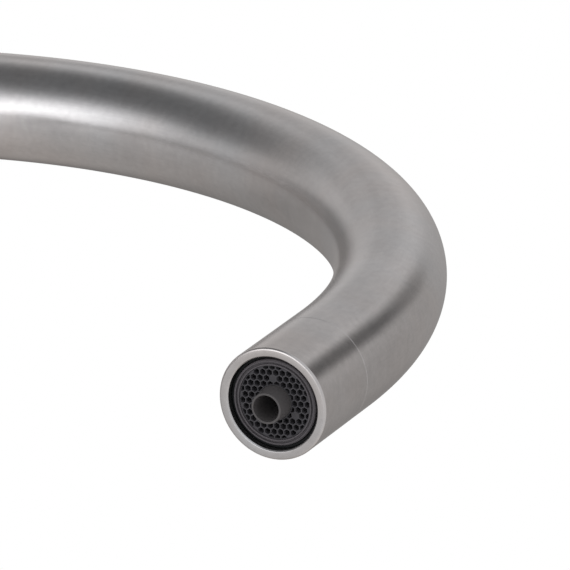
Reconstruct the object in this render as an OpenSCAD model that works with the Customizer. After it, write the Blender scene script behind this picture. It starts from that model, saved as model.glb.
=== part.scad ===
// Three-way gooseneck tap: a swivelling bent spout with separate waterways for mixed and
// filtered water, a tilting mixer lever on the right and a quarter-turn filter lever on the left.
// The worktop's upper face is z = 0, the riser stands on the Z axis and the spout reaches towards -Y.

/* [Gooseneck] */
// Outer diameter of the bent tube
tube_d = 22; // [20:0.5:24]
// Wall of the bent tube
tube_wall = 1.2; // [0.8:0.1:1.5]
// Radius of the bend, at the middle of the tube
bend_r = 112; // [95:1:125]
// Height of the outlet's rim above the worktop
outlet_h = 215; // [195:1:250]
// Straight length from the rim to the start of the bend
outlet_straight = 26.5; // [25:0.5:40]
// Length of the turned sleeve that ends the tube, up to its seam
sleeve_len = 18; // [17:0.5:19]
// Length of the sleeve's spigot inside the tube
sleeve_spigot = 5; // [3:0.5:6]
// Outer diameter of the filtered water line
line_d = 8; // [7.6:0.1:8.6]
// Wall of the filtered water line
line_wall = 1.1; // [0.8:0.1:1.1]

/* [Outlet] */
// Bore of the sleeve at its mouth
mouth_d = 18.3; // [18:0.1:18.8]
// Depth of the sleeve's wide bore
mouth_depth = 11; // [11:0.1:12]
// Wall of the black threaded holder
holder_wall = 0.6; // [0.5:0.05:0.7]
// How far the holder's end lies inside the rim
holder_recess = 1.6; // [1:0.1:2]
// Wall of the aerator housing at its visible end
housing_wall = 1.12; // [1:0.02:1.2]
// How far the housing's end lies inside the rim
housing_recess = 0.85; // [0.6:0.05:1]
// How far the honeycomb lies inside the housing's end
grid_recess = 0.3; // [0.1:0.05:0.4]
// Thickness of the honeycomb
grid_t = 2.05; // [1.8:0.05:2.2]
// Distance between the middles of two honeycomb cells
cell_pitch = 1.34; // [1.25:0.01:1.5]
// Thickness of the walls between the cells
cell_wall = 0.28; // [0.22:0.01:0.34]
// Turn of the honeycomb's rows
cell_turn = 3.7; // [0:0.1:10]
// Outer radius of the nozzle where it leaves the honeycomb
nozzle_base_r = 3.3; // [3.2:0.05:3.45]
// Outer radius of the nozzle's tip
nozzle_tip_r = 3; // [2.85:0.01:3.1]
// Bore radius of the nozzle's tip
nozzle_bore_r = 2.6; // [2.45:0.01:2.65]
// How far the nozzle stands out of the rim
nozzle_reach = 2.65; // [1.5:0.05:3.5]

/* [Body] */
// Diameter of the column
body_d = 46; // [44:0.5:50]
// Height of the column's top above the worktop
body_h = 130; // [126:0.5:140]
// Radius of the column's rounded shoulder
shoulder_r = 12; // [9:0.5:14]
// Diameter of the base ring
base_d = 54; // [52:0.5:60]
// Height of the base ring
base_t = 5; // [4:0.5:8]
// Thickness of the gasket under the base ring
gasket_t = 2; // [1.5:0.1:3]
// Depth of both valves' axis below the column's top
valve_drop = 54; // [52:0.5:58]
// Bore of the chamber that the spout turns in
chamber_d = 26.5; // [25.5:0.1:27.5]
// Depth of that chamber
chamber_depth = 30; // [28:0.5:31]
// Largest swivel of the spout to each side
swivel = 75; // [45:1:80]

/* [Mixer valve] */
// Diameter of the mixer barrel and its handle
mixer_d = 34; // [33:0.5:36]
// Distance from the column's axis to the lever's pivot
pivot_x = 33; // [32:0.5:35]
// Radius of the dome round the pivot
dome_r = 20; // [19.5:0.1:21]
// Wall of the dome
dome_wall = 1.4; // [1:0.1:1.6]
// Gap between the dome and the handle's hollow
dome_gap = 0.6; // [0.4:0.05:0.8]
// Tilt of the lever from closed to fully open
mixer_tilt = 20; // [15:1:22]
// Outer end of the handle, from the column's axis
mixer_end = 64; // [63:0.5:70]
// Diameter of the mixer's lever pin
mixer_pin_d = 7; // [6:0.5:9]
// Length of the mixer's lever pin beyond the handle
mixer_pin_len = 60; // [40:1:80]
// Diameter of the valve stem
stem_d = 7.2; // [6.8:0.1:7.6]
// Diameter of the mixing cartridge
cartridge_d = 25.4; // [25:0.1:25.8]

/* [Filter valve] */
// Diameter of the filter barrel and its handle
filter_d = 28; // [27:0.5:31]
// Outer end of the filter barrel, from the column's axis
filter_barrel = 40; // [39:0.5:44]
// Outer end of the filter handle, from the column's axis
filter_end = 60; // [59:0.5:66]
// Diameter of the filter's lever pin
filter_pin_d = 6; // [5:0.5:8]
// Length of the filter's lever pin beyond the handle
filter_pin_len = 48; // [30:1:70]
// Diameter of the filter valve's spindle
spindle_d = 7; // [6.6:0.1:7.4]

/* [Fixing] */
// Outer diameter of the threaded shank
shank_d = 32; // [31.6:0.1:32.6]
// Bore of the shank, for the three supply hoses
shank_bore_d = 25; // [24.6:0.1:26]
// Length of the shank below the worktop's upper face
shank_len = 62; // [56:1:80]
// Diameter of the plain lead-in at the shank's free end
lead_d = 30; // [29:0.1:30.4]
// Length of that lead-in
lead_len = 6; // [4:0.5:7]
// Thickness of the worktop between gasket and clamp
worktop_t = 30; // [10:1:32]
// Diameter of the clamp's washers
clamp_d = 52; // [48:0.5:60]
// Width of the shank nut across its flats
nut_af = 40; // [38:0.5:46]
// Height of the shank nut
nut_h = 9; // [7:0.5:11]
// Bore of the three hose sockets
hose_socket_d = 9; // [8.6:0.1:9.2]
// Depth of the three hose sockets
hose_socket_depth = 12; // [10:0.5:14]

/* [Hidden] */
$fn = 72;

// Working clearances
fit_gap = 0.05;   // between pieces that are pressed or screwed together
turn_gap = 0.15;  // round pieces that turn in a bore
seat_gap = 0.1;   // between flat faces that slide on each other
cut = 1;          // how far a cutting body runs past the face that it opens

// Gooseneck
tube_r = tube_d / 2;
tube_bore_r = tube_r - tube_wall;
reach = 2 * bend_r;
bend_z = outlet_h + outlet_straight;
line_r = line_d / 2;
line_bore_r = line_r - line_wall;

// Outlet, in heights above the rim
mouth_r = mouth_d / 2;
sleeve_neck_r = tube_bore_r - fit_gap;
sleeve_bore_r = mouth_r - 1.6;
rim_round = 0.5;
mouth_chamfer = 0.25;
holder_r = mouth_r - fit_gap;
holder_bore_r = holder_r - holder_wall;
housing_r = holder_bore_r - 0.08;
housing_lip_r = housing_r - housing_wall;
housing_bore_r = housing_lip_r + 0.3;
housing_top = mouth_depth - 1;
lip_top = 2.2;
grid_bottom = housing_recess + grid_recess;
grid_top = grid_bottom + grid_t;
grid_lip_r = housing_lip_r - fit_gap;
grid_r = housing_bore_r - fit_gap;
grid_ring = 0.15;
hub_bore_r = nozzle_base_r + fit_gap;
hub_r = hub_bore_r + grid_ring;
nozzle_flange_r = nozzle_base_r + 1.1;
nozzle_flange_t = 0.9;
nozzle_spigot_r = line_bore_r - 0.1;
nozzle_spigot_bore_r = 1.5;
nozzle_shoulder = mouth_depth + 2;
nozzle_top = nozzle_shoulder + 9;
line_end = nozzle_shoulder + 0.5;
plate_rim_t = 0.55;
jet_plate_top = 6.6;
jet_plate_t = 1.4;
screen_top = housing_top - 0.1;
screen_t = 0.7;
small_ring_r = (nozzle_spigot_r - 2) / 2 + 0.02;
small_ring_mid = 2 + small_ring_r;

// Column
body_r = body_d / 2;
valve_z = body_h - valve_drop;
chamber_z = body_h - chamber_depth;
body_bottom = gasket_t + base_t;
shank_r = shank_d / 2;
shank_bore_r = shank_bore_d / 2;
lead_r = lead_d / 2;
lead_edge = 0.8;
shank_seat = 12;
hose_face = body_bottom + shank_seat;
top_r = chamber_d / 2 + 3.25;
shoulder_z = body_h - sqrt(pow(shoulder_r, 2) - pow(top_r - body_r + shoulder_r, 2));
chamber_r = chamber_d / 2;
hose_ring_r = 6.6;
hose_angles = [60, -60, 180];
hose_socket_r = hose_socket_d / 2;
passage_r = 2;
side_passage_r = 1.8;
supply_x = hose_ring_r * cos(hose_angles[0]);
supply_y = hose_ring_r * sin(hose_angles[0]);
mixed_x = 7.5;
filtered_x = 5.4;
nipple_thread_r = 3;
nipple_bore_r = 1.3;

// Swivel joint of the spout
socket_r = chamber_r - turn_gap;
socket_bottom = chamber_z + 4;
socket_bore_r = line_r + 2.4;
glide_t = 1.5;
flange_z = body_h + glide_t + seat_gap;
flange_t = 4;
flange_r = top_r - 0.75;
tube_foot = flange_z + flange_t;
neck_len = 12;
collar_h = 8;
groove_depth = 1.9;
groove_w = 2.6;
ring_r = (groove_depth + turn_gap - 0.1) / 2;
ring_rise = 17;
ring_pitch = 7;
ring_heights = [chamber_z + ring_rise, chamber_z + ring_rise + ring_pitch];
stop_rise = 9;
stop_z = chamber_z + stop_rise;
stop_r = 2.5;
stop_tip_r = 1.9;
stop_slot_depth = 2;
stop_slot_half = swivel + asin(stop_tip_r / (socket_r - stop_slot_depth)) + 1;
nipple_collar_r = 5;
nipple_collar_t = 2;
nipple_len = 10;
nipple_root = 8;

// Mixer valve, in distances from the column's axis
mixer_r = mixer_d / 2;
cartridge_r = cartridge_d / 2;
pocket_r = cartridge_r + 0.3;
pocket_drop = 19;
pocket_floor = pivot_x - pocket_drop;
base_disc_t = 3.2;
fixed_disc_z = pocket_floor + base_disc_t;
fixed_disc_t = 2.8;
moving_disc_z = fixed_disc_z + fixed_disc_t;
moving_disc_t = 5;
cavity_r = cartridge_r - 1.7;
ball_r = 1.8;
ball_x = moving_disc_z + moving_disc_t - 0.9;
arm_len = pivot_x - ball_x;
ball_travel = arm_len * sin(mixer_tilt);
moving_disc_r = cavity_r - ball_travel / 2 - 0.3;
disc_flat = moving_disc_r - 1.4;
ball_hole_depth = 3;
port_r = 2;
port_ring_r = 5.5;
port_angle = 55;
inlet_rise = port_ring_r * cos(port_angle);
inlet_y = port_ring_r * sin(port_angle);
outlet_drop = 0.9;
drill_top = valve_z + inlet_rise + side_passage_r;
port_seal_r = 2.8;
port_seal_t = 1.5;
mix_recess_r = port_ring_r - port_r - 0.2;
mix_recess_t = 0.8;
lug_w = 10;
shoulder_run = 1;
shoulder_t = 1.4;
housing_shoulder = pivot_x + shoulder_run;
neck_len_x = 8;
neck_end = pivot_x + neck_len_x;
neck_r = cartridge_r - 3.1;
neck_bore_r = neck_r - 1;
carrier_r = cavity_r - turn_gap;
carrier_neck_r = neck_bore_r - turn_gap;
carrier_start = moving_disc_z + moving_disc_t + 0.2;
lug_start = moving_disc_z + 0.4;
stem_r = stem_d / 2;
stem_slot_w = stem_d + 0.3;
stem_grip = 7.6;
stem_end = pivot_x + dome_r + dome_gap + stem_grip;
pin_r = 1.5;
nut_t = 5;
mixer_barrel = neck_end;
dome_base = mixer_barrel + 0.2;
dome_open_angle = 33.5;
dome_spigot = 1.6;
spigot_r = pocket_r - 0.1;
spigot_bore_r = spigot_r - 1.5;
hollow_r = dome_r + dome_gap;
lever_inset = 7;
lever_x = mixer_end - lever_inset;
lever_root = 8;
lever_step = 0.8;
screw_r = 2.5;
plug_r = 3.2;
plug_t = 1.8;

// Filter valve, in distances from the column's axis
filter_r = filter_d / 2;
spindle_r = spindle_d / 2;
f_floor = 8;
f_pocket_r = 7.8;
f_seal_t = 2.5;
f_disc_z = f_floor + f_seal_t;
f_disc_t = 2.5;
f_cavity_r = 5.4;
f_thread_z = 20;
f_thread_r = 9.5;
f_hex_inset = 7;
f_hex_t = 5;
f_hex_z = filter_barrel - f_hex_inset;
f_hex_r = 12;
f_mouth_r = f_hex_r + 0.4;
f_neck_r = 6.2;
f_neck_reach = 4;
f_neck_end = filter_barrel + f_neck_reach;
f_window_w = 3.6;
f_window_t = 2.2;
f_window_rise = 0.6;
f_drive_t = 3;
f_drive_w = 3;
f_out_x = 17;
f_out_rise = 14;
clip_t = 0.8;
f_hub_start = filter_barrel + 1;
f_hub_hollow = f_neck_end + 2.2;
f_lever_x = filter_end - lever_inset;

// A straight pipe that stands on z = 0.
module pipe(r, bore_r, len) {
  linear_extrude(len) difference() {
    circle(r);
    circle(bore_r);
  }
}

// A turned bar that stands on z = 0, with both edges broken.
module bar(r, len, edge = 0.4) {
  rotate_extrude() polygon([
    [0, 0], [r - edge, 0], [r, edge], [r, len - edge], [r - edge, len], [0, len]
  ]);
}

// A rectangle of a turned profile: radii r0 to r1, heights z0 to z1.
module band(r0, r1, z0, z1) {
  translate([r0, z0]) square([r1 - r0, z1 - z0]);
}

// A rubber ring of round section, lying round the Z axis.
module o_ring(mid_r, section_r) {
  rotate_extrude() translate([mid_r, 0]) circle(section_r);
}

// Puts children, drawn along +Z, along +X from the column's axis at the valves' height.
module on_mixer_axis(x = 0) {
  translate([x, 0, valve_z]) rotate([0, 90, 0]) children();
}

// The same towards -X.
module on_filter_axis(x = 0) {
  translate([-x, 0, valve_z]) rotate([0, -90, 0]) children();
}

// Puts children at the outlet, with z measured upwards from the rim.
module at_outlet() {
  translate([0, -reach, outlet_h]) children();
}

// A ring section carried round the gooseneck's bend.
module bend(r, bore_r) {
  translate([0, -bend_r, bend_z]) rotate([90, 0, 90]) rotate_extrude(angle = 180)
    translate([bend_r, 0]) difference() {
      circle(r);
      circle(bore_r);
    }
}

// Holes on circles of a disc: each entry of rows is [radius, count].
module ring_holes(rows, r, len) {
  for (row = rows, i = [0 : row[1] - 1])
    rotate(i * 360 / row[1]) translate([row[0], 0, 0]) cylinder(r = r, h = len);
}

// Lever that stands on a handle of radius barrel_r, whose top is z = 0: a round grip with its
// foot hollowed to the handle, and a pin that is pressed into the handle's hole.
module lever(r, len, barrel_r) {
  sunk = barrel_r - sqrt(pow(barrel_r, 2) - pow(r, 2));
  difference() {
    rotate_extrude() {
      band(0, r, -sunk, len - r);
      intersection() {
        translate([0, len - r]) circle(r);
        band(0, r, len - r - 0.1, len);
      }
    }
    translate([0, 0, -barrel_r]) rotate([0, 90, 0])
      cylinder(r = barrel_r + 0.02, h = 4 * r, center = true);
  }
  translate([0, 0, -lever_root + 0.2])
    cylinder(r = r - lever_step - fit_gap, h = lever_root + 1);
}

// Column of the body, as a turned profile with a rounded shoulder.
module column_profile() {
  band(0, body_r, body_bottom, shoulder_z);
  intersection() {
    band(0, body_r, shoulder_z - cut, body_h);
    union() {
      translate([body_r - shoulder_r, shoulder_z]) circle(shoulder_r);
      band(0, body_r - shoulder_r, shoulder_z - cut, body_h);
    }
  }
}

module hose_sockets() {
  for (a = hose_angles)
    rotate(a) translate([hose_ring_r, 0, hose_face - cut])
      cylinder(r = hose_socket_r, h = hose_socket_depth + cut);
}

// Drilled waterways of the body.
module passages() {
  socket_top = hose_face + hose_socket_depth - cut;
  filtered_z = valve_z + f_out_rise;
  // drilled on from the middle of each socket, all three to one depth
  for (place = [[supply_x, supply_y], [supply_x, -supply_y], [-filtered_x, 0]])
    translate([place[0], place[1], socket_top])
      cylinder(r = passage_r, h = drill_top - socket_top);
  // hot and cold, across to the cartridge
  for (side = [-1, 1])
    translate([supply_x, side * inlet_y, valve_z + inlet_rise]) rotate([0, 90, 0])
      cylinder(r = side_passage_r, h = pocket_floor - supply_x + cut);
  // mixed water, back from the cartridge and up to the chamber
  translate([mixed_x, 0, valve_z - outlet_drop]) rotate([0, 90, 0])
    cylinder(r = side_passage_r, h = pocket_floor - mixed_x + cut);
  translate([mixed_x, 0, valve_z - outlet_drop - side_passage_r])
    cylinder(r = passage_r, h = chamber_z - valve_z + outlet_drop + side_passage_r + cut);
  // filtered water, across to the valve's seat
  on_filter_axis(filtered_x) cylinder(r = side_passage_r, h = f_floor - filtered_x + cut);
  // filtered water, out of the valve and across to the nipple
  translate([-f_out_x, 0, valve_z + f_pocket_r - cut])
    cylinder(r = passage_r, h = f_out_rise - f_pocket_r + cut + side_passage_r);
  translate([-f_out_x, 0, filtered_z]) rotate([0, 90, 0])
    cylinder(r = side_passage_r, h = f_out_x + nipple_bore_r);
  translate([0, 0, filtered_z - side_passage_r])
    cylinder(r = side_passage_r, h = chamber_z - filtered_z);
}

module body() {
  color("silver") difference() {
    union() {
      rotate_extrude() column_profile();
      on_mixer_axis() bar(mixer_r, mixer_barrel);
      on_filter_axis() bar(filter_r, filter_barrel);
    }
    // chamber of the spout, and the nipple's thread in its floor
    translate([0, 0, chamber_z]) cylinder(r = chamber_r, h = body_h - chamber_z + cut);
    translate([0, 0, chamber_z - nipple_root])
      cylinder(r = nipple_thread_r + fit_gap, h = nipple_root + cut);
    // hole of the screw that stops the spout
    translate([0, chamber_r - cut, stop_z]) rotate([-90, 0, 0])
      cylinder(r = stop_r + fit_gap, h = body_r - chamber_r + 2 * cut);
    // seat of the shank, and the hose sockets above it
    translate([0, 0, body_bottom - cut]) cylinder(r = shank_r + fit_gap, h = shank_seat + cut);
    hose_sockets();
    passages();
    // mixing cartridge
    on_mixer_axis(pocket_floor) cylinder(r = pocket_r, h = mixer_barrel - pocket_floor + cut);
    // filter headwork: seat, thread and mouth
    on_filter_axis(f_floor) cylinder(r = f_pocket_r, h = f_thread_z - f_floor + cut);
    on_filter_axis(f_thread_z) cylinder(r = f_thread_r, h = filter_barrel - f_thread_z + cut);
    on_filter_axis(f_hex_z - 0.5) cylinder(r = f_mouth_r, h = filter_barrel - f_hex_z + cut + 0.5);
  }
}

module base_ring() {
  round_r = 2.5;
  color("silver") rotate_extrude() difference() {
    union() {
      band(shank_r + 0.3, base_d / 2, gasket_t, body_bottom - round_r);
      band(shank_r + 0.3, base_d / 2 - round_r, body_bottom - round_r - cut, body_bottom);
      translate([base_d / 2 - round_r, body_bottom - round_r]) circle(round_r);
    }
    band(shank_r - cut, base_d / 2 - 3, gasket_t - cut, gasket_t);
  }
}

module base_gasket() {
  color("dimgray") pipe(base_d / 2 - 1.5, shank_r + 0.4, gasket_t);
}

// Threaded shank. Its plain lead-in, turned to the thread's root, starts the nut.
module shank() {
  top = shank_len + hose_face;
  color("darkgoldenrod") translate([0, 0, -shank_len]) rotate_extrude() polygon([
    [shank_bore_r, 0], [lead_r - lead_edge, 0], [lead_r, lead_edge], [lead_r, lead_len],
    [shank_r, lead_len + shank_r - lead_r], [shank_r, top - lead_edge],
    [shank_r - lead_edge, top], [shank_bore_r, top]
  ]);
}

module clamp_gasket() {
  color("dimgray") translate([0, 0, -worktop_t - 3]) pipe(clamp_d / 2, shank_r + 0.4, 3);
}

module clamp_washer() {
  color("gainsboro") translate([0, 0, -worktop_t - 5]) pipe(clamp_d / 2, shank_r + 0.3, 2);
}

module shank_nut() {
  nut_z = -worktop_t - 5 - nut_h;
  color("goldenrod") translate([0, 0, nut_z]) difference() {
    union() {
      cylinder(r = nut_af / 2 / cos(30), h = nut_h - 2, $fn = 6);
      translate([0, 0, nut_h - 2]) cylinder(r = nut_af / 2 + 1.5, h = 2);
    }
    translate([0, 0, -cut]) cylinder(r = shank_r + fit_gap, h = nut_h + 2 * cut);
  }
}

// Brass nipple in the chamber's floor: the filtered line turns on it.
module line_nipple() {
  groove_z = chamber_z + nipple_collar_t + nipple_len - 3;
  color("goldenrod") difference() {
    union() {
      translate([0, 0, chamber_z - nipple_root + 0.5])
        cylinder(r = nipple_thread_r, h = nipple_root);
      translate([0, 0, chamber_z]) cylinder(r = nipple_collar_r, h = nipple_collar_t, $fn = 6);
      translate([0, 0, chamber_z + nipple_collar_t - 0.5])
        cylinder(r = nozzle_spigot_r, h = nipple_len + 0.5);
    }
    translate([0, 0, chamber_z - nipple_root]) 
      cylinder(r = nipple_bore_r, h = nipple_root + nipple_collar_t + nipple_len + cut);
    translate([0, 0, groove_z - small_ring_r - 0.1])
      pipe(nozzle_spigot_r + cut, 2, 2 * small_ring_r + 0.2);
  }
}

module nipple_o_ring() {
  color("black") translate([0, 0, chamber_z + nipple_collar_t + nipple_len - 3])
    o_ring(small_ring_mid, small_ring_r - 0.01);
}

module glide_ring() {
  color("whitesmoke") translate([0, 0, body_h])
    pipe(top_r - 1, socket_r + turn_gap, glide_t);
}

// Grub screw at the column's back: its tip runs in the socket's slot and limits the swivel.
module stop_screw() {
  head_y = body_r - 1;
  tip_y = socket_r - stop_slot_depth + 0.5;
  color("dimgray") difference() {
    union() {
      translate([0, chamber_r + 0.2, stop_z]) rotate([-90, 0, 0])
        cylinder(r = stop_r, h = head_y - chamber_r - 0.2);
      translate([0, tip_y, stop_z]) rotate([-90, 0, 0])
        cylinder(r = stop_tip_r, h = chamber_r + 0.7 - tip_y);
    }
    translate([0, head_y - 2.5, stop_z]) rotate([-90, 0, 0])
      cylinder(r = 1.44, h = 3.5, $fn = 6);
  }
}

module spout_tube() {
  color("silver") {
    translate([0, 0, tube_foot]) pipe(tube_r, tube_bore_r, bend_z - tube_foot);
    bend(tube_r, tube_bore_r);
    at_outlet() translate([0, 0, sleeve_len])
      pipe(tube_r, tube_bore_r, outlet_straight - sleeve_len);
  }
}

// Turned end of the spout: round rim, chamfered mouth, shoulder for the seal, spigot in the tube.
module outlet_sleeve() {
  color("silver") at_outlet() rotate_extrude() difference() {
    union() {
      band(0, tube_r, rim_round, sleeve_len);
      band(0, tube_r - rim_round, 0, rim_round + 0.1);
      translate([tube_r - rim_round, rim_round]) circle(rim_round);
      band(0, sleeve_neck_r, sleeve_len - 0.1, sleeve_len + sleeve_spigot);
    }
    band(-cut, mouth_r, -cut, mouth_depth);
    band(-cut, sleeve_bore_r, mouth_depth - cut, sleeve_len + sleeve_spigot + cut);
    polygon([
      [mouth_r - 0.1, -cut], [mouth_r + mouth_chamfer + cut, -cut], [mouth_r, mouth_chamfer],
      [mouth_r - 0.1, mouth_chamfer]
    ]);
  }
}

// Lower end of the spout: journal with two ring grooves and the stop's slot, flange and neck.
module spout_socket() {
  color("silver") difference() {
    rotate_extrude() difference() {
      union() {
        band(socket_bore_r, socket_r, socket_bottom, flange_z + 0.1);
        band(socket_bore_r, flange_r, flange_z, tube_foot);
        band(socket_bore_r, tube_bore_r - fit_gap, tube_foot - 0.1, tube_foot + neck_len);
      }
      for (z = ring_heights)
        band(socket_r - groove_depth, socket_r + cut, z - groove_w / 2, z + groove_w / 2);
    }
    rotate([0, 0, 90 - stop_slot_half]) rotate_extrude(angle = 2 * stop_slot_half)
      band(socket_r - stop_slot_depth, socket_r + cut, stop_z - stop_r, stop_z + stop_r);
  }
}

module spout_collar() {
  round_r = 3;
  color("silver") translate([0, 0, tube_foot]) rotate_extrude() {
    band(tube_r + fit_gap, flange_r, 0, collar_h - round_r);
    band(tube_r + fit_gap, flange_r - round_r, 0, collar_h);
    intersection() {
      translate([flange_r - round_r, collar_h - round_r]) circle(round_r);
      band(tube_r + fit_gap, flange_r + cut, 0, collar_h + cut);
    }
  }
}

module spout_o_rings() {
  color("black") for (z = ring_heights)
    translate([0, 0, z]) o_ring(socket_r - groove_depth + ring_r, ring_r - 0.01);
}

module filter_line() {
  line_foot = chamber_z + nipple_collar_t + 0.3;
  color("lightblue") {
    translate([0, 0, line_foot]) pipe(line_r, line_bore_r, bend_z - line_foot);
    bend(line_r, line_bore_r);
    at_outlet() translate([0, 0, line_end]) pipe(line_r, line_bore_r, outlet_straight - line_end);
  }
}

module aerator_holder() {
  color("black") at_outlet() translate([0, 0, holder_recess])
    pipe(holder_r, holder_bore_r, housing_top - holder_recess);
}

module aerator_housing() {
  color("dimgray") at_outlet() rotate_extrude() difference() {
    band(housing_lip_r, housing_r, housing_recess, housing_top);
    band(housing_lip_r - cut, housing_bore_r, lip_top, housing_top + cut);
    translate([housing_r, housing_recess]) rotate(45) square(0.35, center = true);
  }
}

// Middles of the cells that lie in the open ring of the honeycomb, without its three solid posts.
cell_across = cell_pitch - cell_wall;
cell_rows = ceil(grid_r / cell_pitch) + 1;
posts = [[2, 2], [-4, 2], [2, -4]];
cells = [
  for (i = [-cell_rows : cell_rows], j = [-cell_rows : cell_rows])
    let (x = cell_pitch * (i + j / 2), y = cell_pitch * j * sin(60), r = norm([x, y]))
      if (r > hub_r && r < grid_lip_r - grid_ring + 0.07 * cell_pitch
          && len([for (p = posts) if (p == [i, j]) p]) == 0)
        [x, y]
];

module honeycomb() {
  color("dimgray") at_outlet() difference() {
    rotate_extrude() {
      band(hub_bore_r, grid_lip_r, grid_bottom, grid_top);
      band(hub_bore_r, grid_r, lip_top + fit_gap, grid_top);
    }
    intersection() {
      rotate(-90 - cell_turn) for (c = cells)
        translate([c[0], c[1], grid_bottom - cut]) rotate(30)
          cylinder(r = cell_across / 2 / cos(30), h = grid_t + 2 * cut, $fn = 6);
      translate([0, 0, grid_bottom - 2 * cut])
        pipe(grid_lip_r - grid_ring, hub_r, grid_t + 4 * cut);
    }
  }
}

// Cup with two rings of jets, standing on the honeycomb.
module jet_plate() {
  color("slategray") at_outlet() difference() {
    rotate_extrude() {
      band(grid_r - plate_rim_t, grid_r, grid_top + fit_gap, jet_plate_top);
      band(nozzle_base_r + 0.1, grid_r, jet_plate_top - jet_plate_t, jet_plate_top);
    }
    translate([0, 0, jet_plate_top - jet_plate_t - cut])
      ring_holes([[4.3, 12], [5.6, 18]], 0.45, jet_plate_t + 2 * cut);
  }
}

module inlet_screen() {
  color("lightgray") at_outlet() difference() {
    rotate_extrude() {
      band(grid_r - plate_rim_t, grid_r, jet_plate_top + fit_gap, screen_top);
      band(nozzle_base_r + 0.1, grid_r, screen_top - screen_t, screen_top);
    }
    translate([0, 0, screen_top - screen_t - cut])
      ring_holes([[4.1, 20], [5.1, 26], [6.1, 32]], 0.3, screen_t + 2 * cut);
  }
}

module aerator_seal() {
  color("black") at_outlet() translate([0, 0, housing_top + fit_gap])
    pipe(holder_r - 0.1, sleeve_bore_r + 0.1, mouth_depth - housing_top - 2 * fit_gap);
}

// Nozzle of the filtered water: flared outlet, flange on the honeycomb, spigot in the line.
module filter_nozzle() {
  color("dimgray") at_outlet() rotate_extrude() difference() {
    union() {
      polygon([
        [0, -nozzle_reach], [nozzle_tip_r, -nozzle_reach], [nozzle_base_r, grid_bottom + 0.1],
        [nozzle_base_r, nozzle_shoulder], [0, nozzle_shoulder]
      ]);
      band(0, nozzle_flange_r, grid_top + fit_gap, grid_top + fit_gap + nozzle_flange_t);
      band(0, nozzle_spigot_r, nozzle_shoulder - 0.1, nozzle_top);
    }
    band(-cut, nozzle_bore_r, -nozzle_reach - cut, nozzle_shoulder - 3);
    band(-cut, nozzle_spigot_bore_r, 0, nozzle_top + cut);
    band(2, nozzle_spigot_r + cut, nozzle_top - 3 - small_ring_r - 0.1, nozzle_top - 3 + small_ring_r + 0.1);
  }
}

module nozzle_o_ring() {
  color("black") at_outlet() translate([0, 0, nozzle_top - 3])
    o_ring(small_ring_mid, small_ring_r - 0.01);
}

// Where the cartridge's three ports lie, as seen along its axis: [x towards -Z, y].
port_places = [[-inlet_rise, inlet_y], [-inlet_rise, -inlet_y], [outlet_drop, 0]];

module ports(r, z, len) {
  for (p = port_places) translate([p[0], p[1], z]) cylinder(r = r, h = len);
}

module cartridge_base() {
  color("ivory") on_mixer_axis() difference() {
    translate([0, 0, pocket_floor]) cylinder(r = cartridge_r, h = base_disc_t);
    ports(port_r, pocket_floor - cut, base_disc_t + 2 * cut);
    ports(port_seal_r, pocket_floor - cut, port_seal_t + cut);
  }
}

module port_seals() {
  color("black") on_mixer_axis() difference() {
    ports(port_seal_r - fit_gap, pocket_floor, port_seal_t);
    ports(port_r, pocket_floor - cut, port_seal_t + 2 * cut);
  }
}

module fixed_disc() {
  color("white") on_mixer_axis() difference() {
    translate([0, 0, fixed_disc_z]) cylinder(r = cavity_r - 0.1, h = fixed_disc_t);
    ports(port_r, fixed_disc_z - cut, fixed_disc_t + 2 * cut);
  }
}

// Ceramic disc that the stem slides up and down and the carrier turns. The recess in its
// underside lets the ports meet once the disc has moved.
module moving_disc() {
  low = ball_travel / 2;
  color("white") on_mixer_axis() translate([0, 0, moving_disc_z + 0.02]) difference() {
    intersection() {
      translate([low, 0, 0]) cylinder(r = moving_disc_r, h = moving_disc_t);
      translate([-cartridge_r, -disc_flat, 0]) cube([cartridge_d, 2 * disc_flat, moving_disc_t]);
    }
    translate([0, 0, moving_disc_t - ball_hole_depth])
      cylinder(r = ball_r + 0.15, h = ball_hole_depth + cut);
    translate([0, 0, -cut]) cylinder(r = mix_recess_r, h = mix_recess_t + cut);
  }
}

module cartridge_housing() {
  cavity_end = housing_shoulder - shoulder_t;
  color("ivory") on_mixer_axis() difference() {
    union() {
      translate([0, 0, fixed_disc_z]) cylinder(r = cartridge_r, h = housing_shoulder - fixed_disc_z);
      translate([0, 0, housing_shoulder - shoulder_t])
        cylinder(r = neck_r, h = neck_end - housing_shoulder + shoulder_t);
    }
    translate([0, 0, fixed_disc_z - cut]) cylinder(r = cavity_r, h = cavity_end - fixed_disc_z + cut);
    translate([0, 0, cavity_end - cut])
      cylinder(r = neck_bore_r, h = neck_end - cavity_end + 2 * cut);
  }
}

// Rotor of the cartridge: it holds the stem's pin and turns the moving disc by two lugs.
module carrier() {
  body_end = housing_shoulder - shoulder_t - 0.2;
  carrier_end = neck_end - 0.4;
  slot_half = carrier_neck_r - 1.2;
  lug_len = carrier_start - lug_start + cut;
  color("slategray") on_mixer_axis() difference() {
    union() {
      translate([0, 0, carrier_start]) cylinder(r = carrier_r, h = body_end - carrier_start);
      translate([0, 0, body_end - cut]) cylinder(r = carrier_neck_r, h = carrier_end - body_end + cut);
      intersection() {
        translate([0, 0, lug_start]) cylinder(r = carrier_r, h = lug_len);
        for (side = [0, 180])
          rotate(side) translate([-lug_w / 2, disc_flat + turn_gap, lug_start])
            cube([lug_w, cartridge_r, lug_len]);
      }
    }
    // slot that lets the stem tilt, and the bore of its pin
    translate([-slot_half, -stem_slot_w / 2, carrier_start - cut])
      cube([2 * slot_half, stem_slot_w, neck_end - carrier_start + 2 * cut]);
    translate([0, -cartridge_r, pivot_x]) rotate([-90, 0, 0])
      cylinder(r = pin_r + fit_gap, h = cartridge_d);
  }
}

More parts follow.
